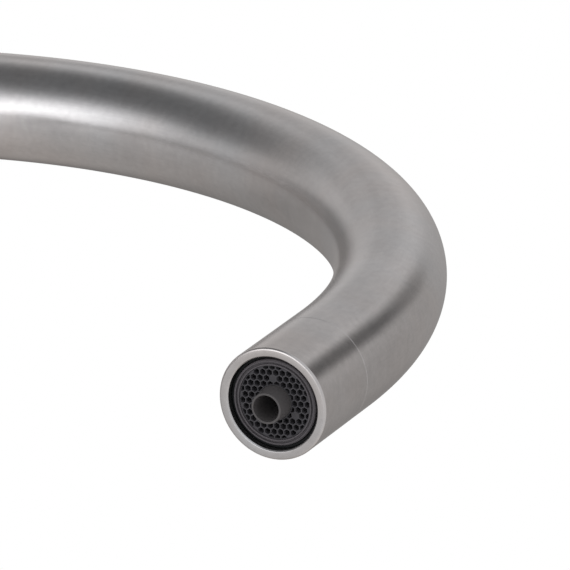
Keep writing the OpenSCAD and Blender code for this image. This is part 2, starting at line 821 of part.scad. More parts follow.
module pivot_pin() {
  color("gainsboro") on_mixer_axis(pivot_x) rotate([-90, 0, 0])
    cylinder(r = pin_r, h = 2 * neck_bore_r - 1, center = true);
}

module cartridge_nut() {
  color("goldenrod") on_mixer_axis(housing_shoulder) difference() {
    cylinder(r = pocket_r - fit_gap, h = nut_t);
    translate([0, 0, -cut]) cylinder(r = neck_r + 0.2, h = nut_t + 2 * cut);
    for (a = [0 : 90 : 270])
      rotate(a) translate([neck_r + 0.8, -1.25, nut_t - 2]) cube([5, 2.5, 2 + cut]);
  }
}

// Spherical cap over the cartridge, centred on the lever's pivot.
module dome_cover() {
  open_r = dome_r * sin(dome_open_angle);
  color("silver") on_mixer_axis() rotate_extrude() difference() {
    union() {
      intersection() {
        translate([0, pivot_x]) circle(dome_r);
        band(0, mixer_r, dome_base, pivot_x + dome_r + cut);
      }
      band(0, spigot_r, dome_base - dome_spigot, dome_base + 0.5);
    }
    difference() {
      translate([0, pivot_x]) circle(dome_r - dome_wall);
      band(-dome_r, dome_r, pivot_x - dome_r, dome_base + dome_wall);
    }
    band(-cut, spigot_bore_r, dome_base - dome_spigot - cut, dome_base + dome_wall + cut);
    band(-cut, open_r, dome_base, pivot_x + dome_r + cut);
    band(-dome_r, 0, dome_base - dome_spigot - cut, pivot_x + dome_r + cut);
  }
}

// Stem on its pin: ball in the moving disc at one end, handle on the other.
module mixer_stem() {
  color("gainsboro") on_mixer_axis() difference() {
    union() {
      translate([0, 0, ball_x]) sphere(ball_r);
      translate([0, 0, ball_x]) cylinder(r = 1.3, h = 3.5);
      translate([0, 0, ball_x + 2.6]) cylinder(r = stem_r, h = stem_end - ball_x - 2.6);
    }
    translate([0, -stem_d, pivot_x]) rotate([-90, 0, 0]) cylinder(r = pin_r + fit_gap, h = 2 * stem_d);
    // flat for the grub screw
    translate([stem_r - 0.6, -stem_d, lever_x - 3.5]) cube([stem_r, 2 * stem_d, 7]);
  }
}

// Handle with a hollow that slides over the dome.
module mixer_handle() {
  bore_end = stem_end + 0.4;
  color("silver") on_mixer_axis() difference() {
    bar(mixer_r, mixer_end, 0.8);
    translate([0, 0, pivot_x]) sphere(hollow_r);
    translate([0, 0, -cut]) cylinder(r = mixer_r + cut, h = pivot_x + cut);
    translate([0, 0, pivot_x]) cylinder(r = stem_r + fit_gap, h = bore_end - pivot_x);
    // lever pin above, grub screw and its plug below
    translate([0, 0, lever_x]) rotate([0, -90, 0]) translate([0, 0, mixer_r - lever_root])
      cylinder(r = mixer_pin_d / 2 - lever_step, h = lever_root + cut);
    translate([0, 0, lever_x]) rotate([0, 90, 0]) {
      cylinder(r = screw_r, h = mixer_r);
      translate([0, 0, mixer_r - plug_t]) cylinder(r = plug_r, h = plug_t + cut);
    }
  }
}

module mixer_lever() {
  color("silver") translate([lever_x, 0, valve_z + mixer_r]) lever(mixer_pin_d / 2, mixer_pin_len, mixer_r);
}

module mixer_screw() {
  color("dimgray") translate([lever_x, 0, valve_z]) rotate([180, 0, 0])
    translate([0, 0, stem_r - 0.6 + fit_gap]) difference() {
      cylinder(r = screw_r - fit_gap, h = 6);
      translate([0, 0, 3.5]) cylinder(r = 1.44, h = 3.5, $fn = 6);
    }
}

module mixer_plug() {
  color("silver") translate([lever_x, 0, valve_z]) rotate([180, 0, 0]) intersection() {
    translate([0, 0, mixer_r - plug_t + fit_gap]) cylinder(r = plug_r - fit_gap, h = plug_t);
    rotate([0, 90, 0]) cylinder(r = mixer_r + 0.05, h = 4 * plug_r, center = true);
  }
}

module filter_seal() {
  color("black") on_filter_axis(f_floor) pipe(f_cavity_r + 1.4, 2.6, f_seal_t);
}

// Half-moon openings of the filter valve's ceramic discs.
module half_moons(len) {
  for (side = [0, 180])
    rotate(side) rotate_extrude(angle = 70) band(1.2, 3.9, -cut, len + cut);
}

module filter_fixed_disc() {
  color("white") on_filter_axis(f_disc_z) difference() {
    cylinder(r = f_cavity_r - 0.1, h = f_disc_t);
    rotate(10) half_moons(f_disc_t);
  }
}

module filter_moving_disc() {
  color("white") on_filter_axis(f_disc_z + f_disc_t + 0.02) difference() {
    cylinder(r = f_cavity_r - turn_gap, h = f_disc_t);
    rotate(100) half_moons(f_disc_t);
    translate([-f_cavity_r, -f_drive_w / 2 - fit_gap, f_disc_t - 1])
      cube([2 * f_cavity_r, f_drive_w + 2 * fit_gap, 1 + cut]);
  }
}

// Brass headwork: seat sleeve with two side windows, thread, hexagon and neck.
module filter_valve() {
  color("goldenrod") on_filter_axis() difference() {
    union() {
      translate([0, 0, f_disc_z]) cylinder(r = f_pocket_r - 0.3, h = f_thread_z - f_disc_z + 1);
      translate([0, 0, f_thread_z + 0.5]) cylinder(r = f_thread_r - fit_gap, h = f_hex_z - f_thread_z);
      translate([0, 0, f_hex_z]) cylinder(r = f_hex_r, h = f_hex_t, $fn = 6);
      translate([0, 0, f_hex_z + f_hex_t - cut])
        cylinder(r = f_neck_r, h = f_neck_end - f_hex_z - f_hex_t + cut);
    }
    translate([0, 0, f_disc_z - cut]) cylinder(r = f_cavity_r, h = 2 * f_disc_t + f_drive_t + 0.3 + cut);
    translate([0, 0, f_disc_z]) cylinder(r = spindle_r + turn_gap, h = f_neck_end);
    translate([0, 0, f_disc_z + 2 * f_disc_t + f_window_rise])
      for (a = [0, 90])
        rotate(a) translate([-f_thread_r, -f_window_w / 2, 0])
          cube([2 * f_thread_r, f_window_w, f_window_t]);
  }
}

module filter_spindle() {
  drive_z = f_disc_z + 2 * f_disc_t + 0.08;
  color("gold") on_filter_axis() difference() {
    union() {
      translate([0, 0, drive_z + 0.6]) cylinder(r = f_cavity_r - turn_gap, h = f_drive_t - 0.6);
      intersection() {
        translate([0, 0, drive_z - 0.9]) cylinder(r = f_cavity_r - turn_gap, h = f_drive_t);
        translate([-f_cavity_r, -f_drive_w / 2, drive_z - 0.9])
          cube([2 * f_cavity_r, f_drive_w, f_drive_t]);
      }
      translate([0, 0, drive_z + 1]) cylinder(r = spindle_r, h = filter_end - 3.6 - drive_z - 1);
    }
    translate([0, 0, f_neck_end + 0.2]) pipe(spindle_r + cut, spindle_r - 0.7, clip_t + 0.1);
    translate([-spindle_r - 0.6, -spindle_d, f_lever_x - 3.5]) cube([1.2, 2 * spindle_d, 7]);
  }
}

module spindle_clip() {
  color("gainsboro") on_filter_axis(f_neck_end + 0.25) difference() {
    pipe(spindle_r + 1.4, spindle_r - 0.65, clip_t);
    translate([0, -1.2, -cut]) cube([2 * spindle_d, 2.4, clip_t + 2 * cut]);
  }
}

module filter_handle() {
  color("silver") on_filter_axis() difference() {
    translate([0, 0, f_hub_start]) bar(filter_r, filter_end - f_hub_start, 0.8);
    translate([0, 0, f_hub_start - cut]) cylinder(r = filter_r - 2.4, h = f_hub_hollow - f_hub_start + cut);
    translate([0, 0, f_hub_start]) cylinder(r = spindle_r + fit_gap, h = filter_end - 3.2 - f_hub_start);
    translate([0, 0, f_lever_x]) rotate([0, 90, 0]) translate([0, 0, filter_r - lever_root])
      cylinder(r = filter_pin_d / 2 - lever_step, h = lever_root + cut);
    translate([0, 0, f_lever_x]) rotate([0, -90, 0]) {
      cylinder(r = screw_r, h = filter_r);
      translate([0, 0, filter_r - plug_t]) cylinder(r = plug_r, h = plug_t + cut);
    }
  }
}

module filter_lever() {
  color("silver") translate([-f_lever_x, 0, valve_z + filter_r])
    lever(filter_pin_d / 2, filter_pin_len, filter_r);
}

module filter_screw() {
  color("dimgray") translate([-f_lever_x, 0, valve_z]) rotate([180, 0, 0])
    translate([0, 0, spindle_r - 0.6 + fit_gap]) difference() {
      cylinder(r = screw_r - fit_gap, h = 5);
      translate([0, 0, 2.5]) cylinder(r = 1.44, h = 3.5, $fn = 6);
    }
}

module filter_plug() {
  color("silver") translate([-f_lever_x, 0, valve_z]) rotate([180, 0, 0]) intersection() {
    translate([0, 0, filter_r - plug_t + fit_gap]) cylinder(r = plug_r - fit_gap, h = plug_t);
    rotate([0, 90, 0]) cylinder(r = filter_r + 0.05, h = 4 * plug_r, center = true);
  }
}

body();
base_ring();
base_gasket();
shank();
clamp_gasket();
clamp_washer();
shank_nut();
line_nipple();
nipple_o_ring();
glide_ring();
stop_screw();
spout_tube();
outlet_sleeve();
spout_socket();
spout_collar();
spout_o_rings();
filter_line();
aerator_holder();
aerator_housing();
honeycomb();
jet_plate();
inlet_screen();
aerator_seal();
filter_nozzle();
nozzle_o_ring();
cartridge_base();
port_seals();
fixed_disc();
moving_disc();
cartridge_housing();
carrier();
pivot_pin();
cartridge_nut();
dome_cover();
mixer_stem();
mixer_handle();
mixer_lever();
mixer_screw();
mixer_plug();
filter_seal();
filter_fixed_disc();
filter_moving_disc();
filter_valve();
filter_spindle();
spindle_clip();
filter_handle();
filter_lever();
filter_screw();
filter_plug();
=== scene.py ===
"""A three-way gooseneck tap in satin steel, seen from under its outlet.

The swivelling spout ends in a turned sleeve with a honeycomb outlet for mixed water round a
nozzle for filtered water. The column carries a tilting mixer lever on one side and a
quarter-turn filter lever on the other, and a threaded shank clamps it to the worktop.
Profiles are drawn in millimetres, as points of radius and place along their axis.
"""

import logging
import math
from collections.abc import Callable
from dataclasses import dataclass
from enum import Enum

import bmesh
import bpy
from mathutils import Matrix, Vector


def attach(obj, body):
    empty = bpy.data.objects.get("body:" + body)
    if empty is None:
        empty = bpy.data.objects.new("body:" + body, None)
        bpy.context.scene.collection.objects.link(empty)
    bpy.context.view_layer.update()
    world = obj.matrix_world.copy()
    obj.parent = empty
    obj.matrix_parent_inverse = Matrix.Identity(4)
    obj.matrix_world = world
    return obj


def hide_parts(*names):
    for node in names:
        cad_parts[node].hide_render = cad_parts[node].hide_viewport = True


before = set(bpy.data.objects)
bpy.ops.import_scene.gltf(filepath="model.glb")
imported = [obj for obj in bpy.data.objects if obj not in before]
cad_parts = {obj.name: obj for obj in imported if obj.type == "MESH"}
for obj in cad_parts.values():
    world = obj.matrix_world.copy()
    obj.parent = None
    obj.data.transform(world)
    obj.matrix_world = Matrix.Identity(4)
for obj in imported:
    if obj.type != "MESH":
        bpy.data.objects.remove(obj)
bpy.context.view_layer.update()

log = logging.getLogger("tap")
MM = 0.001
TINY = 1e-6
Point = tuple[float, float]
Spot = tuple[float, float, float]
Color = tuple[float, float, float]
Piece = bpy.types.Object


def operator(operation: str, swapped: bool = False) -> Callable[..., "Value"]:
    """Makes one of Value's operators.

    Args:
        operation: The Math node's operation.
        swapped: Whether the other operand comes first.
    Returns:
        A method of two operands.
    """
    def method(self: "Value", other: "Value | float") -> "Value":
        """Both operands through one Math node."""
        pair = (other, self) if swapped else (self, other)
        return self.graph.math(operation, *pair)

    return method


class Value:
    """One output socket of a node, which Python's operators turn into Math nodes."""

    __add__ = __radd__ = operator("ADD")
    __sub__ = operator("SUBTRACT")
    __rsub__ = operator("SUBTRACT", swapped=True)
    __mul__ = __rmul__ = operator("MULTIPLY")
    __truediv__ = operator("DIVIDE")
    __gt__ = operator("GREATER_THAN")
    __lt__ = operator("LESS_THAN")

    def __init__(self, graph: "Graph", socket: bpy.types.NodeSocket | None) -> None:
        """Wraps a socket of the graph's tree."""
        self.graph = graph
        self.socket = socket

    def __getitem__(self, name: str) -> "Value":
        """Another output of the same node."""
        return Value(self.graph, self.socket.node.outputs[name])

    def __neg__(self) -> "Value":
        """This with its sign turned."""
        return self * -1.0

    def clamp(self, low: float = 0.0, high: float = 1.0) -> "Value":
        """This value, kept from low to high."""
        return self.graph.math("MINIMUM", self.graph.math("MAXIMUM", self, low), high)


class Graph:
    """Adds nodes to one shader, world or geometry tree."""

    def __init__(self, tree: bpy.types.NodeTree) -> None:
        """Starts from an empty tree."""
        self.tree = tree
        tree.nodes.clear()

    def node(self, kind: str, inputs: dict | None = None, **settings: str) -> Value:
        """Adds any node.

        Args:
            kind: The node's type.
            inputs: Values or links for its sockets, by place or name.
            settings: The node's properties.
        Returns:
            The node's first output that is in use.
        """
        node = self.tree.nodes.new(kind)
        for name, setting in settings.items():
            setattr(node, name, setting)
        for key, value in (inputs or {}).items():
            for item in value if isinstance(value, list) else [value]:
                if isinstance(item, Value):
                    self.tree.links.new(item.socket, node.inputs[key])
                else:
                    node.inputs[key].default_value = item
        return Value(self, next((s for s in node.outputs if s.enabled), None))

    def geo(self, kind: str, inputs: dict | None = None, **settings: str) -> Value:
        """Adds a geometry node, by what its type's name ends with."""
        return self.node(f"GeometryNode{kind}", inputs, **settings)

    def math(self, operation: str, *values: Value | float) -> Value:
        """One Math node on the values."""
        return self.node("ShaderNodeMath", dict(enumerate(values)), operation=operation)

    def vector(self, operation: str, *values: Value | tuple) -> Value:
        """One Vector Math node on the vectors."""
        return self.node("ShaderNodeVectorMath", dict(enumerate(values)), operation=operation)

    def combine(self, x: Value | float, y: Value | float, z: Value | float) -> Value:
        """A vector of three values."""
        return self.node("ShaderNodeCombineXYZ", {0: x, 1: y, 2: z})

    def separate(self, vector: Value) -> tuple[Value, Value, Value]:
        """The three values of a vector."""
        x = self.node("ShaderNodeSeparateXYZ", {0: vector})
        return x, x["Y"], x["Z"]

    def mix(self, factor: Value, low: Value | Color, high: Value | Color) -> Value:
        """A colour between two colours, by the Mix node's sockets for colours, 6 and 7.

        Args:
            factor: 0 for the first colour, 1 for the second.
            low: The first colour.
            high: The second colour.
        Returns:
            The mixed colour.
        """
        ends = [c if isinstance(c, Value) else (*c, 1.0) for c in (low, high)]
        return self.node("ShaderNodeMix", {0: factor, 6: ends[0], 7: ends[1]}, data_type="RGBA")

    def place(self) -> Value:
        """A point's place on its object, in metres."""
        return self.node("ShaderNodeTexCoord")["Object"]

    def noise(self, where: Value, scale: float, detail: float = 2.0,
              w: Value | None = None) -> Value:
        """Noise from about 0 to 1.

        Args:
            where: Where it is read.
            scale: Features per unit.
            detail: Octaves.
            w: A fourth coordinate, if one is needed.
        Returns:
            The noise's value.
        """
        inputs = {"Vector": where, "Scale": scale, "Detail": detail, "Roughness": 0.55}
        if w is not None:
            inputs["W"] = w
        return self.node("ShaderNodeTexNoise", inputs, noise_dimensions="3D" if w is None else "4D")

    def shader(self, color: Value, roughness: Value, metallic: float = 0.0, gloss: float = 0.5,
               relief: tuple[Value, float, float] | None = None) -> Value:
        """A Principled shader.

        Args:
            color: Its base colour.
            roughness: Its roughness.
            metallic: How much of it is bare metal.
            gloss: Its specular level.
            relief: A bump's height from 0 to 1, its strength and its depth in metres.
        Returns:
            The shader.
        """
        inputs = {"Base Color": color, "Roughness": roughness, "Metallic": metallic,
                  "Specular IOR Level": gloss}
        if relief is not None:
            height, strength, depth = relief
            inputs["Normal"] = self.node(
                "ShaderNodeBump", {"Strength": strength, "Distance": depth, "Height": height})
        return self.node("ShaderNodeBsdfPrincipled", inputs)


class Lathe(Enum):
    """The axes that turned pieces are made round, with a point on each in millimetres."""

    RISER = ("z", (0.0, 0.0, 0.0))
    OUTLET = ("z", (0.0, -224.0, 215.0))
    MIXER = ("x", (0.0, 0.0, 76.0))
    FILTER = ("-x", (0.0, 0.0, 76.0))
    MIXER_LEVER = ("z", (57.0, 0.0, 93.0))
    FILTER_LEVER = ("z", (-53.0, 0.0, 90.0))

    @property
    def matrix(self) -> Matrix:
        """Takes a piece drawn round Z, in millimetres, to its place in metres.

        Returns:
            The move.
        """
        turn = {"z": 0.0, "x": math.pi / 2, "-x": -math.pi / 2}[self.value[0]]
        place = Matrix.Translation(Vector(self.value[1]) * MM)
        return place @ Matrix.Rotation(turn, 4, "Y") @ Matrix.Scale(MM, 4)

    def read(self, graph: Graph) -> tuple[Value, Value, Value, Value]:
        """Reads where a point lies round the axis.

        Args:
            graph: The material's graph.
        Returns:
            The cosine and sine of its angle, its distance from the axis and its place along it.
        """
        centre = tuple(c * MM for c in self.value[1])
        x, y, z = graph.separate(graph.vector("SUBTRACT", graph.place(), centre))
        first, along = (x, z) if self.value[0] == "z" else (z, x)
        radius = graph.math("MAXIMUM", graph.math("SQRT", first * first + y * y), TINY)
        return first / radius, y / radius, radius, along


def tinted(color: Color, tint: Color) -> Color:
    """A colour seen through a tint."""
    return tuple(c * t for c, t in zip(color, tint))


@dataclass(frozen=True)
class Finish:
    """What all finishes have: a colour, a roughness and a name that the frame doesn't use."""

    name: str
    color: Color
    roughness: float

    def material(self) -> bpy.types.Material:
        """Makes the finish's material at its first use.

        Returns:
            The material.
        """
        made = bpy.data.materials.get(self.name)
        if made is None:
            made = bpy.data.materials.new(self.name)
            made.use_nodes = True
            graph = Graph(made.node_tree)
            graph.node("ShaderNodeOutputMaterial", {"Surface": self.surface(graph)})
        return made

    def surface(self, graph: Graph) -> Value:
        """Builds the finish's shader.

        Args:
            graph: The material's graph.
        Returns:
            The shader.
        """
        raise NotImplementedError

    def shades(self, low: float, high: float) -> tuple[Color, Color]:
        """The colour made darker and lighter."""
        return tinted(self.color, (low,) * 3), tinted(self.color, (high,) * 3)


@dataclass(frozen=True)
class BrushedSteel(Finish):
    """Satin stainless steel, brushed round a lathe's axis or, with none, along the bent tube."""

    lathe: Lathe | None = None
    fineness: float = 5200.0
    tube_stretch: float = 160.0
    lathe_stretch: float = 9.0
    patch_contrast: float = 3.0
    warmth: Color = (1.04, 0.99, 0.96)

    def surface(self, graph: Graph) -> Value:
        """Fine lines and grain with soft clouds, a slight bump, and patches a little warmer.

        Args:
            graph: The material's graph.
        Returns:
            The shader.
        """
        place, fine = graph.place(), self.fineness
        if self.lathe is None:
            run = graph.node("ShaderNodeAttribute", attribute_name="straight")["Vector"]
            spot = graph.vector("MULTIPLY", run, (self.tube_stretch, fine, fine))
            lines = graph.noise(spot, 1.0)
        else:
            cos, sin, radius, along = (v * f for v, f in zip(
                self.lathe.read(graph), (self.lathe_stretch, self.lathe_stretch, fine, fine)))
            lines = graph.noise(graph.combine(cos, sin, along), 1.0, w=radius)
        clouds = graph.noise(place, 60.0, 4.0)
        grain = graph.noise(place, 700.0, 3.0)
        tone = (lines * 0.22 + grain * 0.33 + clouds * 0.45).clamp()
        patch = ((graph.noise(place, 42.0) - 0.5) * self.patch_contrast + 0.5).clamp()
        cool = self.shades(0.68, 1.32)
        warm = [tinted(shade, self.warmth) for shade in cool]
        color = graph.mix(patch, graph.mix(tone, *cool), graph.mix(tone, *warm))
        rough = (tone - 0.5) * 0.06 + self.roughness
        return graph.shader(color, rough, metallic=1.0, relief=(lines, 0.04, 0.00002))


@dataclass(frozen=True)
class MachinedMetal(Finish):
    """Bare turned metal with the tool's fine rings, a feed apart in millimetres."""

    lathe: Lathe = Lathe.RISER
    feed: float = 0.12

    def surface(self, graph: Graph) -> Value:
        """Rings a feed apart, crossed by slow stains.

        Args:
            graph: The material's graph.
        Returns:
            The shader.
        """
        _, _, radius, along = self.lathe.read(graph)
        turns = (radius + along) * (2 * math.pi / (self.feed * MM))
        rings = graph.math("SINE", turns) * 0.5 + 0.5
        stain = graph.noise(graph.place(), 160.0, 4.0)
        color = graph.mix((rings * 0.3 + stain * 0.7).clamp(), *self.shades(0.72, 1.12))
        rough = stain * 0.16 + self.roughness
        return graph.shader(color, rough, metallic=1.0, relief=(rings, 0.2, 0.00001))


@dataclass(frozen=True)
class ZincPlate(Finish):
    """Zinc plated sheet with a faint bluish and yellowish passivation."""

    warmth: Color = (1.04, 1.0, 0.88)

    def surface(self, graph: Graph) -> Value:
        """Crystals of slightly different brightness under a thin tint.

        Args:
            graph: The material's graph.
        Returns:
            The shader.
        """
        place = graph.place()
        cells = graph.node("ShaderNodeTexVoronoi", {"Vector": place, "Scale": 700.0})["Color"]
        crystal = graph.separate(cells)[0]
        base = graph.mix(graph.noise(place, 60.0), *self.shades(0.9, 1.05))
        color = graph.mix(crystal * 0.35, base, tinted(self.color, self.warmth))
        return graph.shader(color, crystal * 0.12 + self.roughness, metallic=0.9)


@dataclass(frozen=True)
class MouldedPlastic(Finish):
    """Engineering plastic with the fine matt texture of its mould."""

    gloss: float = 0.3
    texture: float = 2600.0

    def surface(self, graph: Graph) -> Value:
        """Spark-eroded texture with a few paler rubs.

        Args:
            graph: The material's graph.
        Returns:
            The shader.
        """
        place = graph.place()
        fine = graph.noise(place, self.texture, 3.0)
        rubs = graph.noise(place, 260.0, 3.0)
        color = graph.mix((fine * 0.5 + rubs * 0.5).clamp(), *self.shades(0.78, 1.22))
        return graph.shader(color, rubs * 0.2 + self.roughness, gloss=self.gloss,
                            relief=(fine, 0.35, 0.00001))


@dataclass(frozen=True)
class Rubber(Finish):
    """Matt black rubber with a powdery bloom."""

    gloss: float = 0.35

    def surface(self, graph: Graph) -> Value:
        """A paler bloom in soft patches over fine pores.

        Args:
            graph: The material's graph.
        Returns:
            The shader.
        """
        place = graph.place()
        bloom = graph.noise(place, 120.0, 4.0)
        pores = graph.noise(place, 2200.0)
        color = graph.mix(bloom, *self.shades(0.75, 1.6))
        return graph.shader(color, pores * 0.15 + self.roughness, gloss=self.gloss,
                            relief=(pores, 0.3, 0.00002))


@dataclass(frozen=True)
class GroundCeramic(Finish):
    """Lapped alumina, nearly white, with a dull shine."""

    def surface(self, graph: Graph) -> Value:
        """A fine speckle under a smooth face.

        Args:
            graph: The material's graph.
        Returns:
            The shader.
        """
        speckle = graph.noise(graph.place(), 3200.0, 3.0)
        color = graph.mix(speckle, *self.shades(0.94, 1.03))
        return graph.shader(color, speckle * 0.1 + self.roughness)


SATIN: Color = (0.446, 0.441, 0.438)
BARE: Color = (0.42, 0.42, 0.43)
BRASS: Color = (0.60, 0.41, 0.16)
ZINC = ZincPlate("zinc_plating", (0.50, 0.51, 0.51), 0.3)
RUBBER = Rubber("matt_rubber", (0.016, 0.016, 0.017), 0.72)
GREY = MouldedPlastic("honeycomb_plastic", (0.055, 0.053, 0.058), 0.55)
HOUSING = MouldedPlastic("housing_plastic", (0.088, 0.081, 0.087), 0.4)
NOZZLE = MouldedPlastic("nozzle_plastic", (0.082, 0.077, 0.077), 0.40)
BLACK = MouldedPlastic("holder_plastic", (0.005, 0.006, 0.0065), 0.45, 0.16)
WHITE = MouldedPlastic("cartridge_plastic", (0.62, 0.62, 0.58), 0.38)
LINE = MouldedPlastic("hose_plastic", (0.55, 0.62, 0.68), 0.3, texture=900.0)
CERAMIC = GroundCeramic("ground_ceramic", (0.78, 0.77, 0.73), 0.18)


def steel(lathe: Lathe | None) -> BrushedSteel:
    """Satin steel, brushed round that axis or, with none, along the tube."""
    place = "tube" if lathe is None else lathe.name.lower()
    return BrushedSteel(f"satin_steel_{place}", SATIN, 0.26, lathe)


def brass(lathe: Lathe) -> MachinedMetal:
    """Brass, turned round that axis."""
    return MachinedMetal(f"brass_{lathe.name.lower()}", BRASS, 0.2, lathe)


def bare_steel(lathe: Lathe) -> MachinedMetal:
    """Plain steel, turned round that axis."""
    return MachinedMetal(f"plain_steel_{lathe.name.lower()}", BARE, 0.26, lathe, 0.2)


def arc(centre: Point, radius: float, start: float, end: float, steps: int = 16) -> list[Point]:
    """Points on a circle.

    Args:
        centre: Its middle.
        radius: Its radius.
        start: The first point's angle in degrees, from the profile's radius axis.
        end: The last point's angle.
        steps: How many stretches it has.
    Returns:
        The points, ends included.
    """
    angles = [math.radians(start + (end - start) * i / steps) for i in range(steps + 1)]
    return [(centre[0] + radius * math.cos(a), centre[1] + radius * math.sin(a)) for a in angles]


def soften(corners: list[tuple[float, ...]], steps: int = 5) -> list[Point]:
    """Rounds the corners of a closed profile.

    Args:
        corners: Points, each with an optional third number, the radius of its rounding.
        steps: How many stretches each rounding has.
    Returns:
        The profile's points.
    """
    points: list[Point] = []
    count = len(corners)
    for i, corner in enumerate(corners):
        if len(corner) < 3:
            points.append(corner)
            continue
        here = Vector(corner[:2])
        back = (Vector(corners[i - 1][:2]) - here).normalized()
        ahead = (Vector(corners[(i + 1) % count][:2]) - here).normalized()
        half = back.angle(ahead) / 2
        centre = here + (back + ahead).normalized() * (corner[2] / math.sin(half))
        first = here + back * (corner[2] / math.tan(half)) - centre
        turn = first.angle_signed(here + ahead * (corner[2] / math.tan(half)) - centre)
        for k in range(steps + 1):
            spoke = first.copy()
            spoke.rotate(Matrix.Rotation(-turn * k / steps, 2))
            points.append(tuple(centre + spoke))
    return points


def turned(name: str, profile: list[Point], lathe: Lathe | None = Lathe.RISER,
           segments: int = 128) -> Piece:
    """Turns a closed profile round an axis into a closed mesh.

    Args:
        name: The piece's name.
        profile: Points of radius and place along the axis, in millimetres.
        lathe: The axis. With none, the piece stays round Z, in millimetres.
        segments: How many faces go round.
    Returns:
        The mesh object, in its place in metres.
    """
    area = sum(a[0] * b[1] - b[0] * a[1] for a, b in zip(profile, profile[1:] + profile[:1]))
    points = profile if area > 0 else profile[::-1]
    vertices: list[Spot] = []
    rings: list[list[int]] = []
    angles = [2 * math.pi * k / segments for k in range(segments)]
    for radius, height in points:
        count = segments if radius > TINY else 1
        rings.append([len(vertices) + k % count for k in range(segments)])
        vertices += [(radius * math.cos(a), radius * math.sin(a), height) for a in angles[:count]]
    faces: list[tuple[int, ...]] = []
    for low, high in zip(rings, rings[1:] + rings[:1]):
        for k in range(segments):
            n = (k + 1) % segments
            corners = tuple(dict.fromkeys((low[k], low[n], high[n], high[k])))
            if len(corners) > 2:
                faces.append(corners)
    mesh = bpy.data.meshes.new(name)
    mesh.from_pydata(vertices, [], faces)
    if lathe is not None:
        mesh.transform(lathe.matrix)
    return blank(name, mesh)


def blank(name: str, data: bpy.types.ID | None = None) -> Piece:
    """Makes an object at the origin.

    Args:
        name: Its name.
        data: Its mesh, camera or light. With none, it gets an empty mesh.
    Returns:
        The object, linked to the scene.
    """
    piece = bpy.data.objects.new(name, data or bpy.data.meshes.new(name))
    bpy.context.scene.collection.objects.link(piece)
    return piece


def face_out(piece: Piece) -> None:
    """Merges doubles and turns every face outwards.

    Args:
        piece: The piece.
    """
    work = bmesh.new()
    work.from_mesh(piece.data)
    bmesh.ops.remove_doubles(work, verts=work.verts, dist=TINY)
    bmesh.ops.recalc_face_normals(work, faces=work.faces)
    work.to_mesh(piece.data)
    work.free()


def drill(radius: float, low: float, high: float, lathe: Lathe, place: Matrix | None = None,
          segments: int = 64) -> Piece:
    """A plain cutting cylinder.

    Args:
        radius: Its radius in millimetres.
        low: Where it starts along its axis.
        high: Where it ends.
        lathe: The axis that it is drawn round.
        place: A move, in millimetres, made before it is put on that axis.
        segments: How many faces go round.
    Returns:
        The cutting body.
    """
    profile = [(0, low), (radius, low), (radius, high), (0, high)]
    tool = turned("cutter", profile, lathe, segments)
    if place is not None:
        tool.data.transform(lathe.matrix @ place @ lathe.matrix.inverted())
    return tool


def settle(piece: Piece) -> None:
    """Applies the modifiers, so that a plain mesh is left.

    Args:
        piece: The piece.
    """
    graph = bpy.context.evaluated_depsgraph_get()
    graph.update()
    mesh = bpy.data.meshes.new_from_object(piece.evaluated_get(graph), depsgraph=graph)
    piece.modifiers.clear()
    old, piece.data = piece.data, mesh
    mesh.name = piece.name
    bpy.data.meshes.remove(old)


class Cut(Enum):
    """What a Boolean step leaves of a body and its tools."""

    REMOVE = "DIFFERENCE"
    JOIN = "UNION"
    OVERLAP = "INTERSECT"


def carve(piece: Piece, tools: list[Piece], how: Cut = Cut.REMOVE) -> None:
    """Works tools into a piece.

    Args:
        piece: The piece that is worked on.
        tools: The bodies, which are removed afterwards.
        how: What is left of them.
    """
    for tool in tools:
        step = piece.modifiers.new("carve", "BOOLEAN")
        step.operation, step.solver, step.object = how.value, "MANIFOLD", tool
    settle(piece)
    for tool in tools:
        bpy.data.objects.remove(tool)


def dress(piece: Piece, finish: Finish, body: str, slot: str, *nodes: str,
          sharp: float = 32.0) -> None:
    """Finishes a piece and puts it into the frame.

    Args:
        piece: The piece, in its place.
        finish: Its finish.
        body: The body that it rides on.
        slot: The record's material slot; not used.
        nodes: The plain solids that it stands for.
        sharp: The least angle, in degrees, of an edge that stays sharp.
    """
    mesh = piece.data
    mesh.materials.clear()
    mesh.materials.append(finish.material())
    mesh.polygons.foreach_set("use_smooth", [True] * len(mesh.polygons))
    mesh.set_sharp_from_angle(angle=math.radians(sharp))
    weigh = piece.modifiers.new("weigh", "WEIGHTED_NORMAL")
    weigh.keep_sharp = True
    settle(piece)
    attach(piece, body)
    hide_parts(*nodes)
    faces = len(piece.data.polygons)
    log.info("%s: %d faces, for %s on %s", piece.name, faces, ", ".join(nodes), body)


def paint(finish: Finish, *nodes: str) -> None:
    """Gives a finish to solids that keep their shape.

    Args:
        finish: The finish.
        nodes: The solids' names.
    """
    for name in nodes:
        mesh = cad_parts[name].data
        mesh.materials.clear()
        mesh.materials.append(finish.material())
        log.info("%s: painted %s", name, finish.name)


